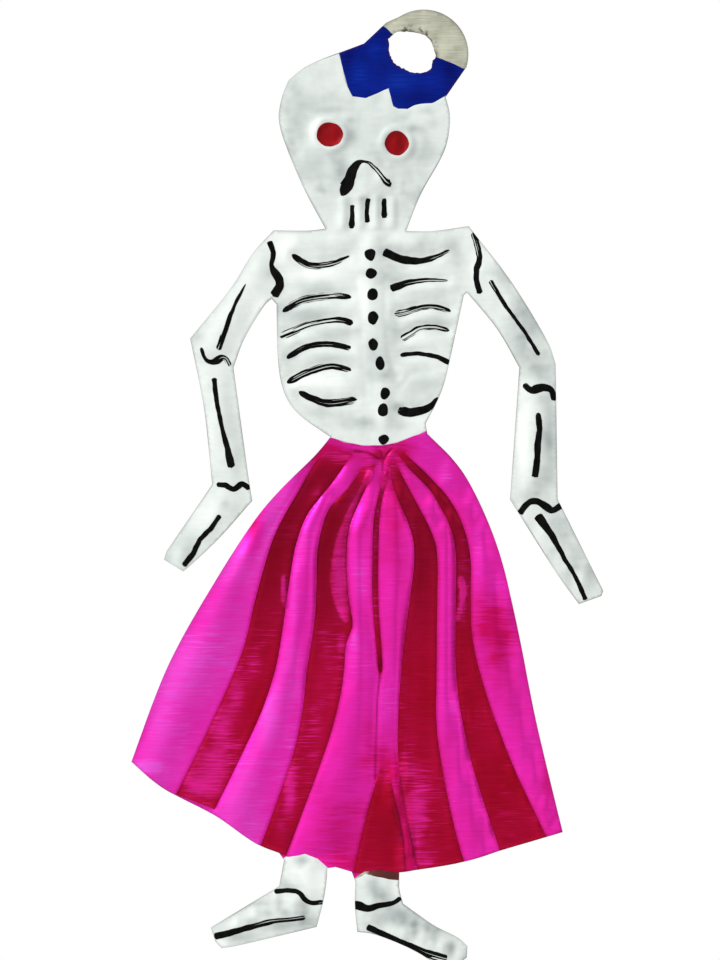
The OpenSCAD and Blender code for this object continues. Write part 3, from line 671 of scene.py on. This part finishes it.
def shell(name, loops, pitch, front, back, layers, extra):
    """A closed shell over the loops; front and back give how far each point stands out from y = 0."""
    flat, faces = triangulated(loops, pitch, extra)
    used = np.unique(faces)
    renumber = np.zeros(len(flat), int)
    renumber[used] = np.arange(len(used))
    flat, faces = flat[used], renumber[faces].tolist()
    n = len(flat)
    x, z = flat.T
    verts = np.vstack([np.column_stack((x, -out(flat), z)) for out in (front, back)])
    edges = dict.fromkeys((tri[i], tri[(i + 1) % 3]) for tri in faces for i in range(3))
    rim = [(a, b) for a, b in edges if (b, a) not in edges]
    faces += [(c + n, b + n, a + n) for a, b, c in faces] + [(a, a + n, b + n, b) for a, b in rim]
    mesh = bpy.data.meshes.new(name)
    mesh.from_pydata(verts.tolist(), [], faces)
    for layer, value in (layers or {}).items():
        store = mesh.attributes.new(layer, "FLOAT", "POINT")
        on_front = value(flat)
        on_back = on_front if layer == "edge" else np.zeros(n)
        store.data.foreach_set("value", np.concatenate((on_front, on_back)).astype(np.float32))
    mesh.shade_smooth()
    mesh.set_sharp_from_angle(angle=math.radians(RIM_ANGLE))
    obj = bpy.data.objects.new(name, mesh)
    bpy.context.scene.collection.objects.link(obj)
    return obj


def placed(obj, node, material):
    """The shell in the place of its CAD node, on the one rigid body."""
    obj.data.materials.append(material)
    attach(obj, "root")
    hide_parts(node)
    return obj


# ---- materials


class Wiring:
    """A short way to wire a tree of shader nodes."""

    def __init__(self, tree):
        self.tree = tree

    def node(self, kind, **props):
        made = self.tree.nodes.new(kind)
        for key, value in props.items():
            setattr(made, key, value)
        return made

    def link(self, source, target):
        self.tree.links.new(source, target)

    def fit(self, value, low, high, to_low=0.0, to_high=1.0, **props):
        """The value with low to high stretched to the new range, and held at its ends."""
        made = self.node("ShaderNodeMapRange", **props)
        ends = {"From Min": low, "From Max": high, "To Min": to_low, "To Max": to_high}
        for socket, number in ends.items():
            made.inputs[socket].default_value = number
        self.link(value, made.inputs["Value"])
        return made.outputs["Result"]

    def math(self, operation, a, b):
        made = self.node("ShaderNodeMath", operation=operation)
        self.link(a, made.inputs[0])
        self.link(b, made.inputs[1])
        return made.outputs[0]


class Look(Wiring):
    """A Principled material, its sockets named with underscores, and the ways to texture it."""

    def __init__(self, name, **sockets):
        self.material = bpy.data.materials.new(name)
        self.material.use_nodes = True
        super().__init__(self.material.node_tree)
        self.shader = self.tree.nodes["Principled BSDF"]
        for key, value in sockets.items():
            self.shader.inputs[key.replace("_", " ")].default_value = value
        self.place = self.node("ShaderNodeTexCoord").outputs["Object"]

    def noise(self, scale, detail=3, roughness=0.5, turn=(0, 0, 0)):
        """Noise whose features are about 1 / scale metres long in x, y and z."""
        mapped = self.node("ShaderNodeMapping")
        mapped.inputs["Scale"].default_value = scale
        mapped.inputs["Rotation"].default_value = turn
        self.link(self.place, mapped.inputs["Vector"])
        made = self.node("ShaderNodeTexNoise")
        made.inputs["Scale"].default_value = 1
        made.inputs["Detail"].default_value = detail
        made.inputs["Roughness"].default_value = roughness
        self.link(mapped.outputs["Vector"], made.inputs["Vector"])
        return made.outputs["Fac"]

    def mix(self, amount, a, b):
        """Colour a where the amount is 0, and b where it is 1."""
        made = self.node("ShaderNodeMix", data_type="RGBA")
        self.link(amount, made.inputs["Factor"])
        for socket, value in ((made.inputs[6], a), (made.inputs[7], b)):
            if isinstance(value, tuple):
                socket.default_value = (*value, 1)
            else:
                self.link(value, socket)
        return made.outputs[2]

    def layer(self, name):
        return self.node("ShaderNodeAttribute", attribute_name=name).outputs["Fac"]

    def colour(self, source):
        self.link(source, self.shader.inputs["Base Color"])

    def rough(self, source, low, high, to_low, to_high):
        self.link(self.fit(source, low, high, to_low, to_high), self.shader.inputs["Roughness"])

    def bump(self, height, depth, strength=1.0):
        """A bump from the height, on top of those made before."""
        made = self.node("ShaderNodeBump")
        made.inputs["Strength"].default_value = strength
        made.inputs["Distance"].default_value = depth
        self.link(height, made.inputs["Height"])
        before = self.shader.inputs["Normal"]
        if before.is_linked:
            self.link(before.links[0].from_socket, made.inputs["Normal"])
        self.link(made.outputs["Normal"], before)


def brushing(look, turn=0.0):
    """Fine, nearly level brush lines of the tinplate, a few to the millimetre."""
    return look.noise((220, 220, 4800), detail=4, roughness=0.65, turn=(0, turn, 0))


def bare_tin():
    look = Look("bare_tin", Metallic=0.9, Roughness=0.4)
    lines = brushing(look)
    clouds = look.noise((320, 320, 320), detail=4)
    tone = look.mix(look.fit(clouds, 0.38, 0.62), (0.44, 0.445, 0.325), (0.58, 0.58, 0.45))
    tone = look.mix(look.fit(lines, 0.35, 0.75, 0, 0.6), tone, (0.86, 0.86, 0.76))
    # Dark specks round the hanging eye
    speck_noise = look.noise((1500, 1500, 1100), detail=3)
    dark_specks_by_eye = look.math("MULTIPLY", look.layer("dark_specks_by_eye"), look.fit(speck_noise, 0.47, 0.62))
    tone = look.mix(dark_specks_by_eye, tone, (0.07, 0.065, 0.05))
    tone = look.mix(look.layer("edge"), tone, (0.10, 0.09, 0.07))
    # Brown on the bare tin above the right ankle
    look.colour(look.mix(look.layer("brown_patch"), tone, (0.12, 0.032, 0.03)))
    look.rough(clouds, 0.3, 0.7, 0.34, 0.52)
    look.bump(lines, 0.02 * MM, 0.5)
    look.bump(clouds, 0.15 * MM, 0.5)
    return look.material


def white_enamel():
    look = Look("white_enamel", Coat_Weight=0.15, Coat_Roughness=0.2, Specular_IOR_Level=0.35)
    patches = look.noise((300, 300, 220), detail=5, roughness=0.55)
    streaks = look.noise((260, 260, 1500), detail=3, turn=(0, 0.5, 0))
    # The grey mottling is partly thin enamel and partly painted shade and painted reflections
    thin_and_painted_light = look.math("ADD", look.layer("thin_and_painted_light"), look.fit(patches, 0.36, 0.7, -0.08, 0.14))
    thin_and_painted_light = look.math("ADD", thin_and_painted_light, look.fit(streaks, 0.35, 0.7, -0.04, 0.04))
    tone = look.mix(look.fit(thin_and_painted_light, -0.35, 0.05), (0.845, 0.875, 0.85), (0.68, 0.73, 0.70))
    tone = look.mix(look.fit(thin_and_painted_light, 0.05, 1.0), tone, (0.30, 0.34, 0.34))
    look.colour(look.mix(look.layer("edge"), tone, (0.11, 0.115, 0.11)))
    look.rough(patches, 0.3, 0.7, 0.34, 0.5)
    look.bump(streaks, 0.04 * MM, 0.4)
    look.bump(patches, 0.12 * MM, 0.4)
    return look.material


def lacquer(name, tones, reach, metal, hatching, turn=0.0):
    """Translucent lacquer over brushed metal.

    tones are three along the layer of thinness and painted light, which reach gives the places of, and the
    one of painted shade and pooled lacquer. hatching is how far brush lines in rubbed patches shift the
    layer of thinness and painted light; turn leans all brush lines.
    """
    look = Look(name, Metallic=metal, Coat_Weight=0.04, Coat_Roughness=0.2, Specular_IOR_Level=0.15)
    lines = brushing(look, turn)
    clouds = look.noise((95, 95, 60), detail=2)
    hatches = look.noise((230, 230, 3900), detail=3, turn=(0, turn, 0))
    patches = look.noise((150, 150, 110), detail=3)
    rubbed = look.fit(patches, 0.45, 0.60, 0, hatching)
    rubbed = look.math("MULTIPLY", look.fit(hatches, 0.50, 0.66), rubbed)
    thin_and_painted_light = look.math("MULTIPLY", look.layer("thin_and_painted_light"), look.fit(hatches, 0.4, 0.62, 0.74, 1.26))
    thin_and_painted_light = look.math("ADD", thin_and_painted_light, look.fit(lines, 0.3, 0.7, -0.15, 0.15))
    thin_and_painted_light = look.math("ADD", thin_and_painted_light, look.fit(clouds, 0.35, 0.65, -0.12, 0.12))
    thin_and_painted_light = look.math("ADD", thin_and_painted_light, rubbed)
    tone = look.mix(look.fit(thin_and_painted_light, reach[0], reach[1]), tones[0], tones[1])
    tone = look.mix(look.fit(thin_and_painted_light, reach[1], reach[2]), tone, tones[2])
    # Darkest where lacquer has pooled and where shade is painted
    tone = look.mix(look.layer("pooled_and_shade"), tone, tones[3])
    look.colour(look.mix(look.fit(look.layer("edge"), 0, 1, 0, 0.75), tone, (0.06, 0.004, 0.02)))
    look.rough(lines, 0.3, 0.7, 0.28, 0.42)
    look.bump(lines, 0.012 * MM, 0.5)
    look.bump(clouds, 0.2 * MM, 0.3)
    return look.material


def red_enamel():
    look = Look("red_enamel", Metallic=0.3, Specular_IOR_Level=0.15)
    strokes = look.noise((900, 900, 500), detail=3)
    look.colour(look.mix(look.fit(strokes, 0.35, 0.65), (0.19, 0.0, 0.003), (0.29, 0.001, 0.005)))
    look.rough(strokes, 0.3, 0.7, 0.4, 0.55)
    look.bump(strokes, 0.05 * MM, 0.5)
    return look.material


def black_paint():
    look = Look("black_paint", Specular_IOR_Level=0.05)
    strokes = look.noise((1400, 1400, 700), detail=3)
    look.colour(look.mix(look.fit(strokes, 0.4, 0.75), (0.001, 0.001, 0.001), (0.005, 0.005, 0.006)))
    look.rough(strokes, 0.3, 0.7, 0.45, 0.65)
    look.bump(strokes, 0.05 * MM, 0.5)
    return look.material


# Tones of each lacquer where it is thick, middling and thin, which also carry its painted highlights and
# shade, and its dark tone of painted shade and pooled lacquer
MAGENTA = [(1.0, 0.10, 0.82), (1.0, 0.026, 0.56), (0.70, 0.003, 0.14), (0.22, 0.001, 0.025)]
CRIMSON = [(0.44, 0.001, 0.018), (0.58, 0.003, 0.06), (1.0, 0.02, 0.36), (0.13, 0.001, 0.012)]
BLUE = [(0.0, 0.004, 0.14), (0.001, 0.016, 0.30), (0.004, 0.05, 0.46), (0.0, 0.0, 0.05)]
LOOKS = {
    "bare_tin": bare_tin(),
    "white_enamel": white_enamel(),
    "magenta_lacquer": lacquer("magenta_lacquer", MAGENTA, (-0.35, 0.12, 1.0), metal=0.85, hatching=-0.35),
    "crimson_lacquer": lacquer("crimson_lacquer", CRIMSON, (-0.15, 0.35, 1.0), metal=0.85, hatching=0.55),
    "blue_lacquer": lacquer("blue_lacquer", BLUE, (-0.25, 0.3, 1.0), metal=0.7, hatching=0.0, turn=0.7),
    "red_enamel": red_enamel(),
    "black_paint": black_paint(),
}

# ---- the sheet and its films

# How far a film's back is inside what it lies on, and how wide its rounded edge is
FILM_BACK = 0.03 * MM
RIM_W = 0.25 * MM
# A film's outline this near the sheet's edge follows it
EDGE_NEAR = 0.2 * MM
# Films that lie on the metal itself
first_films = [n for n in NODES if n not in (SHEET, *PLEATS, *EYES, *BRUSHED)]
film_cover = np.zeros(GX.shape)
for name in first_films:
    film_cover = np.maximum(film_cover, smooth(-signed(drawn[name], 1 * MM), 0.2 * MM, 0.6 * MM))


def sheet_front(points):
    """The metal's front, sunk a little where a film hides it, so that it never shows through."""
    return SHEET_T + sample(relief, points) - 0.1 * MM * sample(film_cover, points)


NO_POINTS = np.zeros((0, 2))
# Width of the dark line along the cut edge
EDGE_LINE = 0.2 * MM


def at_cut_edge(points):
    """1 on the sheet's cut edge, 0 from a line's width inwards, fainter in places."""
    near = np.clip(1 - segment_distance(points, sheet_loops) / EDGE_LINE, 0, 1)
    # The dark line is fainter in places, at random
    patchy = [0.75 + 0.6 * ripple(x, z, 6 * MM, 1.7) for x, z in points]
    return near * np.clip(patchy, 0.25, 1)


def near_eye(points):
    """1 at the torn rim of the hanging eye, 0 from about 1 mm away."""
    return np.clip(1.2 - (np.hypot(*points.T) - EYE_R) / (0.9 * MM), 0, 1)


SHEET_LAYERS = {
    "edge": at_cut_edge,
    "dark_specks_by_eye": near_eye,
    "brown_patch": lambda p: np.clip(sample(tin_brown_patch, p), 0, 1),
}
placed(
    shell(SHEET, sheet_loops, 0.5 * MM, sheet_front, lambda p: sample(relief, p), SHEET_LAYERS, NO_POINTS),
    SHEET, LOOKS["bare_tin"],
)


def hand_painted(node, sharp, amount, size, seed):
    """Outlines of a film: exact where they follow the sheet's edge, a little unsteady elsewhere."""
    loops = []
    for i, loop in enumerate(drawn[node]):
        loop = softened(loop, sharp)
        at_edge = segment_distance(loop, sheet_loops) < EDGE_NEAR
        at_eye = np.abs(np.hypot(*loop.T) - EYE_R) < EDGE_NEAR
        loops.append(torn_eye(wobbled(loop, amount, size, seed + 0.37 * i, at_edge | at_eye)))
    return loops


def film(node, loops, below, pitch, rim, layers=None, extra=NO_POINTS):
    """One coat of paint: its back is just inside what it lies on, its front is rounded down to the rim.

    below is what lies between it and the sheet, rim the share of its thickness left at its edge.
    """

    def front(points):
        body = np.minimum(segment_distance(points, loops) / RIM_W, 1)
        share = rim + (1 - rim) * np.sqrt(body * (2 - body))
        return SHEET_T + sample(relief, points) + below + COAT_T * share

    def back(points):
        return SHEET_T + sample(relief, points) + below - FILM_BACK

    obj = shell(node, loops, pitch, front, back, layers, extra)
    return placed(obj, node, LOOKS[slot_of[node]])


# Fields of the paints' layers over the grid, where a paint isn't even and where light and shade are painted
# into it
THIN_AND_PAINTED_LIGHT = {
    "white_enamel": enamel_thin_and_shade, "magenta_lacquer": magenta_tone_and_light, "crimson_lacquer": crimson_thin_and_highlights,
    "blue_lacquer": blue_thin_and_shading,
}
POOLED_AND_SHADE = {"magenta_lacquer": pooled_and_shade, "crimson_lacquer": crimson_shade_and_pooled}


def paint_layers(node):
    """Layers that a film's material reads: thinness with painted light and shade, pooled lacquer with
    painted shade, and the cut edge.
    """
    field = THIN_AND_PAINTED_LIGHT.get(slot_of[node], np.zeros(GX.shape))
    pool_and_shade = POOLED_AND_SHADE.get(slot_of[node], np.zeros(GX.shape))
    return {
        "thin_and_painted_light": lambda p: sample(field, p),
        "pooled_and_shade": lambda p: np.clip(sample(pool_and_shade, p), 0, 1),
        "edge": at_cut_edge,
    }


def run_along(path):
    """How far along the path each of its points is."""
    return np.concatenate(([0], np.cumsum(np.hypot(*np.diff(path, axis=0).T))))


def between(at, far, rows):
    """Rows of two numbers, given where far along a line, read at other places along it."""
    return np.column_stack([np.interp(at, far, rows[:, k]) for k in (0, 1)])


def resampled(path, count):
    """The path as a number of points evenly spaced along it."""
    far = run_along(path)
    return between(np.linspace(0, far[-1], count), far, path)


def beside(path, gap, closed):
    """Points on and at either side of a line, so that a shell can follow what changes across it."""
    side = gap * left_of(path, closed)
    return [path, path + side, path - side]


# The skirt's shells get rows of points this far beside its creases
CREASE_SIDE = 0.2 * MM
pleats = {}
for i, name in enumerate(PLEATS):
    pleats[name] = hand_painted(name, PLEATED, amount=0.05 * MM, size=6 * MM, seed=20 + i)
skirt_points = [p for loops in pleats.values() for loop in loops for p in beside(loop, RING, True)]
for line in SKIRT_CREASES:
    line = spots(line)
    line = resampled(line, int(run_along(line)[-1] / STEP))
    skirt_points += beside(line, CREASE_SIDE, False)
for leaf in SKIRT_LEAVES:
    skirt_points += beside(softened(spots(leaf), ROUND), CREASE_SIDE, True)
skirt_points = np.vstack(skirt_points)

for seed, name in enumerate(first_films):
    loops = hand_painted(name, SHARP, amount=0.16 * MM, size=1.6 * MM, seed=seed)
    extra = skirt_points if name == "magenta_lacquer_skirt" else NO_POINTS
    film(name, loops, 0, pitch=0.42 * MM, rim=0.35, layers=paint_layers(name), extra=extra)
for name, loops in pleats.items():
    film(name, loops, COAT_T, pitch=0.42 * MM, rim=0.6, layers=paint_layers(name), extra=skirt_points)
for i, name in enumerate(EYES):
    loops = hand_painted(name, ROUND, amount=0.12 * MM, size=1.4 * MM, seed=40 + i)
    film(name, loops, COAT_T, pitch=0.35 * MM, rim=0.5)
# The dots spread a little past their outline
DOT_GROWTH = 1.22
dots = hand_painted("spine_dots", ROUND, amount=0.2 * MM, size=1.1 * MM, seed=43)
dots = [loop.mean(0) + DOT_GROWTH * (loop - loop.mean(0)) for loop in dots]
film("spine_dots", dots, COAT_T, pitch=0.35 * MM, rim=0.5)

# ---- black brush lines


def spine(loop, count=48):
    """Middle line and half-width of a long mark, from its upper left end to the other one."""
    gap = np.hypot(*(loop[:, None] - loop[None]).transpose(2, 0, 1))
    a, b = sorted(np.unravel_index(gap.argmax(), gap.shape))
    one = resampled(loop[a : b + 1], count)
    other = resampled(np.vstack((loop[b:], loop[: a + 1]))[::-1], count)
    middle, half = (one + other) / 2, np.hypot(*(one - other).T) / 2
    if middle[0] @ (1, -1) > middle[-1] @ (1, -1):
        middle, half = middle[::-1], half[::-1]
    # The rounded ends count as wide as the mark is just past them
    end = count // 9
    half[:end], half[-end:] = half[end], half[-end - 1]
    for _ in range(3):
        middle[1:-1] = (middle[:-2] + 2 * middle[1:-1] + middle[2:]) / 4
        half[1:-1] = (half[:-2] + 2 * half[1:-1] + half[2:]) / 4
    return middle, half


def contours(field, us, vs):
    """Closed curves where the field crosses zero, with the part above zero on their left."""
    after, place = {}, {}
    above = field > 0
    for i in range(len(us) - 1):
        for j in range(len(vs) - 1):
            corners = [(i, j), (i + 1, j), (i + 1, j + 1), (i, j + 1)]
            state = [above[c] for c in corners]
            if all(state) or not any(state):
                continue
            crossings = []
            for k in range(4):
                a, b = corners[k], corners[(k + 1) % 4]
                if state[k] != state[(k + 1) % 4]:
                    key = (min(a, b), max(a, b))
                    t = field[key[0]] / (field[key[0]] - field[key[1]])
                    place[key] = (
                        us[key[0][0]] * (1 - t) + us[key[1][0]] * t,
                        vs[key[0][1]] * (1 - t) + vs[key[1][1]] * t,
                    )
                    crossings.append((key, state[k]))
            for k, (key, leaving) in enumerate(crossings):
                if leaving:
                    after[key] = crossings[(k + 1) % len(crossings)][0]
    curves = []
    while after:
        key, here = after.popitem()
        curve = [key]
        while here in after:
            curve.append(here)
            here = after.pop(here)
        curves.append(np.array([place[k] for k in curve]))
    return curves


def area(loop):
    """The area inside a closed loop."""
    x, z = loop.T
    return 0.5 * abs(x @ np.roll(z, -1) - z @ np.roll(x, -1))


sheet_gap = -signed(sheet_loops, 1 * MM)
# Steps along and across a mark, the smallest speck of paint, and how far paint keeps from a cut edge
ALONG, ACROSS = 0.12 * MM, 0.055 * MM
SPECK = 0.02 * MM * MM
CLEAR = 0.03 * MM
# A mark's edge is this uneven, over about this length, where its half-width is at least this
ROUGH, ROUGH_LONG, ROUGH_FROM = 0.10 * MM, 1.1 * MM, 0.3 * MM
HAIR_LONG, HAIR_WIDE = 5 * MM, 0.17 * MM


def along(t, values):
    """A value given at even steps along a mark, at t from 0 to 1."""
    return np.interp(t, np.linspace(0, 1, len(values)), values)


def ways(middle, far):
    """Unit vectors along a line of points that are far along it."""
    way = np.gradient(middle, far, axis=0)
    return way / np.hypot(*way.T)[:, None]


def beside_middle(far, middle, way, u, v):
    """Points u along a mark's middle line, which runs straight on past its ends, and v to its left."""
    inner = np.clip(u, 0, far[-1])
    points = between(inner, far, middle)
    points += (u - inner)[:, None] * np.where(u[:, None] < 0, way[0], way[-1])
    x, z = between(u, far, way).T
    return points + (v / np.hypot(x, z))[:, None] * np.column_stack((-z, x))


def brush_mark(loop, width, taper, bend, parted, dry, seed):
    """Outlines of one stroke of a small brush along a CAD mark.

    taper is the length of the pointed start and end. The others are given at even steps from the start:
    width is a share of the CAD mark's, bend moves the middle to the left in millimetres, parted is the
    share of the width left bare down the middle, and a dry stroke splits into hairlines.
    """
    middle, half = spine(loop)
    far = run_along(middle)
    length = far[-1]
    middle = beside_middle(far, middle, ways(middle, far), far, along(far / length, bend) * MM)
    way = ways(middle, far)
    reach = 1.6 * half.max()
    us = np.arange(-3 * ALONG, length + 4 * ALONG, ALONG)
    vs = np.arange(-reach - 2 * ACROSS, reach + 3 * ACROSS, ACROSS)
    t = np.clip(us / length, 0, 1)
    wide = np.interp(us, far, half) * along(t, width)
    start = np.clip((us + 0.5 * ALONG) / taper[0], 0, 1)
    finish = np.clip((length + 0.5 * ALONG - us) / taper[1], 0, 1)
    wide = wide * np.sqrt(start * (2 - start) * finish * (2 - finish)) - 0.02 * MM * (start * finish == 0)
    field = np.empty((len(us), len(vs)))
    for i, u in enumerate(us):
        dryness = along(t[i], dry)
        bare = wide[i] * along(t[i], parted)
        for j, v in enumerate(vs):
            rough = noise.noise(Vector((u / ROUGH_LONG, seed, 7.0 if v > 0 else 3.0)))
            hair = noise.noise(Vector((u / HAIR_LONG, v / HAIR_WIDE, seed + 0.5)))
            inner = wide[i] + ROUGH * rough * min(1, wide[i] / ROUGH_FROM) - abs(v)
            # Bare between hairs: where their noise is above a level that sinks as the stroke dries
            inner = min(inner, 0.6 * MM * (0.52 - 0.62 * dryness - hair))
            field[i, j] = min(inner, abs(v) - bare) if bare > 0 else inner
    # Closed all round, and cut off where the sheet ends
    field[0] = field[-1] = field[:, 0] = field[:, -1] = -ACROSS
    points = beside_middle(far, middle, way, np.repeat(us, len(vs)), np.tile(vs, len(us)))
    field = np.minimum(field, sample(sheet_gap, points).reshape(field.shape) - CLEAR)
    curves = []
    for curve in contours(field, us, vs):
        curve = beside_middle(far, middle, way, *curve.T)
        if len(curve) > 5 and area(curve) > SPECK:
            curves.append(curve)
    return curves


# A dryness this low never splits
WET = -0.4


def mark(width, start, finish, bend=(0, 0), parted=(0, 0), dry=(WET, WET)):
    """What brush_mark needs to know of one mark, the lengths of its start and finish in millimetres."""
    return width, (start * MM, finish * MM), bend, parted, dry


# Each node's marks from the top down
MARKS = {
    "nose_stroke": [
        mark(
            (0.9, 0.85, 0.7, 0.74, 0.8, 0.66, 0.6, 0.58, 0.58, 0.62, 0.85), 0.3, 0.3,
            (0, -0.1, -0.1, 0, 0, 0), (0, 0, 0, 0, 0, 0, 0, 0.25, 0.3, 0.3, 0.2, 0),
        ),
    ],
    "teeth_strokes": [mark((1.3, 1, 1, 1.3), 0.12, 0.12)] * 3,
    "collarbone_left": [mark((0.9, 1.2, 1.1, 0.8), 1, 2, dry=(0, 0.35, 0.55, 0.55))],
    "collarbone_right": [mark((1, 1.1, 0.8), 0.15, 0.9, dry=(WET, WET, 0.45))],
    "rib_strokes_left": [
        mark((1.1, 1.5, 1.3), 1.4, 1.2, dry=(0.2, 0.5, 0.62)),
        mark((1.5, 1.2, 1.4), 1.2, 0.5, dry=(0.65, 0.62, 0.5)),
        mark((0.9, 1, 1.2), 0.8, 0.4, dry=(0.1, WET, 0.55)),
        mark((1.2, 1.2, 1.1), 1.2, 0.9, dry=(0.3, 0.35, 0.45)),
        mark((1, 1.25, 1), 0.9, 1, dry=(WET, 0, 0.6)),
    ],
    "rib_strokes_right": [
        mark((1.15, 1.1, 1.1), 0.15, 1.6, dry=(WET, 0.35, 0.55)),
        mark((1.15, 1.1, 1.3), 0.8, 1.2, dry=(0.5, 0.25, 0.58)),
        mark(
            (1.2, 1, 1), 0.3, 0.8, (0.05, -0.15, -0.05, 0, 0), (0.4, 0.35, 0.3, 0.35, 0),
            dry=(0.1, 0.2, WET),
        ),
        mark((1.1, 0.85, 1), 0.6, 0.3, dry=(0.5, 0.1, WET)),
        mark((1, 1.1, 0.9), 0.2, 0.8, dry=(0.4, WET, 0.1)),
    ],
    "shoulder_left": [
        mark(
            (1.1, 0.85, 0.6, 1, 1.05, 1.05), 0.2, 0.3, (-0.35, 0.05, -0.4, -0.1, 0.1, -0.4),
            dry=(0.2, WET, WET),
        ),
    ],
    "shoulder_right": [
        mark((1, 1, 0.8, 1), 0.4, 0.3, (0, 0.1, 0.3, -0.15, 0, 0.2), dry=(0.3, 0.2, WET, WET)),
    ],
    "upper_arm_left": [mark((0.7, 0.8, 0.95, 1.1), 2, 0.6, dry=(0.2, WET, 0, 0.7))],
    "upper_arm_right": [
        mark((0.9, 0.75, 0.75, 0.9), 0.3, 0.3, (0.1, -0.1, 0, 0), dry=(0.5, WET, WET, 0.1)),
    ],
    "elbow_left": [
        mark((0.8, 0.85, 1), 0.4, 0.5, (0, -0.15, -0.1, 0.15, 0), dry=(0.1, 0.5, WET, 0.45, 0.5)),
    ],
    "elbow_right": [mark((1, 1.05, 0.9, 1), 0.3, 0.2, (0.1, -0.15, 0.1, 0.25, 0))],
    "forearm_left": [mark((1.1, 0.8, 0.8, 1.25), 0.2, 0.4)],
    "forearm_right": [mark((0.9, 1, 1.05), 0.5, 0.15)],
    "wrist_left": [mark((1, 1, 1.05), 0.2, 0.3, (-0.1, 0.2, -0.25, 0.2, -0.25))],
    "wrist_right": [mark((0.9, 0.8, 0.95), 0.2, 0.3, (0, 0.15, 0.1, -0.1, -0.5, 0.3))],
    "hand_left": [mark((0.95, 0.9, 1), 0.2, 0.3, (0, 0.1, -0.1, 0.1, 0))],
    "hand_right": [mark((1.05, 0.75, 0.6, 0.8), 0.3, 0.15, (0, 0, -0.15, 0, 0.1))],
    "ankle_left": [mark((0.95, 0.85, 0.9), 0.3, 0.4, (0, 0.15, 0.35, -0.1, -0.15, 0), dry=(WET, WET, 0.2))],
    "ankle_right": [mark((1.2, 1, 0.8), 0.2, 0.3, (0.35, 0, -0.05, 0, 0, 0.4))],
    "foot_left": [mark((1.1, 1, 1, 1.1), 0.2, 0.6, dry=(WET, 0, 0.58, 0.58))],
    "foot_right": [mark((1.1, 1, 1.25), 0.15, 0.3, dry=(WET, WET, 0.1, 0.5))],
}

for seed, name in enumerate(n for n in BRUSHED if n != "spine_dots"):
    strokes = []
    for i, loop in enumerate(sorted(drawn[name], key=lambda loop: -loop[:, 1].mean())):
        strokes += brush_mark(loop, *MARKS[name][i], 60.5 + seed + 0.31 * i)
    film(name, strokes, COAT_T, pitch=0.3 * MM, rim=0.6)

# ---- stage, light and camera

middle = (cad_low + cad_high) / 2

LENS = 180
SENSOR = 36
# The view just holds the figure, whose middle is a little right of and below the view's
VIEW_MARGIN = 1.0061
AIM_LEFT, AIM_UP = 0.0077, 0.0067
view_h = FIGURE_H * VIEW_MARGIN
camera_data = bpy.data.cameras.new("camera")
camera_data.sensor_fit = "VERTICAL"
camera_data.sensor_height = SENSOR
camera_data.lens = LENS
camera_data.clip_start = 0.01
camera = bpy.data.objects.new("camera", camera_data)
camera.location = (
    middle.x - AIM_LEFT * FIGURE_H, middle.y - view_h * LENS / SENSOR, middle.z + AIM_UP * FIGURE_H
)
camera.rotation_euler = (math.radians(90), 0, 0)
bpy.context.scene.collection.objects.link(camera)
bpy.context.scene.camera = camera
bpy.context.scene.view_settings.view_transform = "Standard"


def soft_light(name, place, size, power):
    """A round light at a place from the figure's middle, turned to it."""
    data = bpy.data.lights.new(name, "AREA")
    data.shape = "DISK"
    data.size = size
    data.energy = power
    lamp = bpy.data.objects.new(name, data)
    lamp.location = middle + Vector(place)
    lamp.rotation_euler = (-Vector(place)).to_track_quat("-Z", "Y").to_euler()
    bpy.context.scene.collection.objects.link(lamp)


soft_light("key", (-0.55, -0.42, 0.55), size=0.35, power=4.6)
soft_light("fill", (0.6, -0.6, 0.1), size=0.6, power=0.6)
soft_light("behind", (0.3, 0.7, 0.5), size=0.6, power=1.5)

world = bpy.data.worlds.new("studio")
world.use_nodes = True
bpy.context.scene.world = world
sky = Wiring(world.node_tree)
split = sky.node("ShaderNodeSeparateXYZ")
sky.link(sky.node("ShaderNodeTexCoord").outputs["Generated"], split.inputs["Vector"])
# A dimmer room in front, lighter towards the upper left, and a bright studio wall behind the figure
SOFT = {"interpolation_type": "SMOOTHSTEP"}
height = sky.math("SUBTRACT", split.outputs["Z"], split.outputs["X"])
room = sky.fit(height, -1.0, 1.0, 0.34, 0.94, **SOFT)
wall = sky.fit(split.outputs["Y"], -0.3, 0.5, **SOFT)
room = sky.math("MULTIPLY", room, sky.fit(wall, 0.0, 1.0, 1.0, 0.0, **SOFT))
background = sky.tree.nodes["Background"]
background.inputs["Color"].default_value = (1, 1, 1, 1)
sky.link(sky.math("ADD", room, wall), background.inputs["Strength"])


def floor():
    """A wide pale floor below the figure, which is only for the render."""
    size, drop = 1.6, 0.35
    mesh = bpy.data.meshes.new("floor")
    corners = [(-size, -size), (size, -size), (size, size), (-size, size)]
    z = cad_low.z - drop
    mesh.from_pydata([(middle.x + x, middle.y + y, z) for x, y in corners], [], [(0, 1, 2, 3)])
    look = Look("pale_floor", Roughness=0.7)
    grain = look.noise((40, 40, 40), detail=4)
    look.colour(look.mix(look.fit(grain, 0.3, 0.7), (0.80, 0.80, 0.79), (0.84, 0.84, 0.83)))
    mesh.materials.append(look.material)
    obj = bpy.data.objects.new("floor", mesh)
    bpy.context.scene.collection.objects.link(obj)


floor()
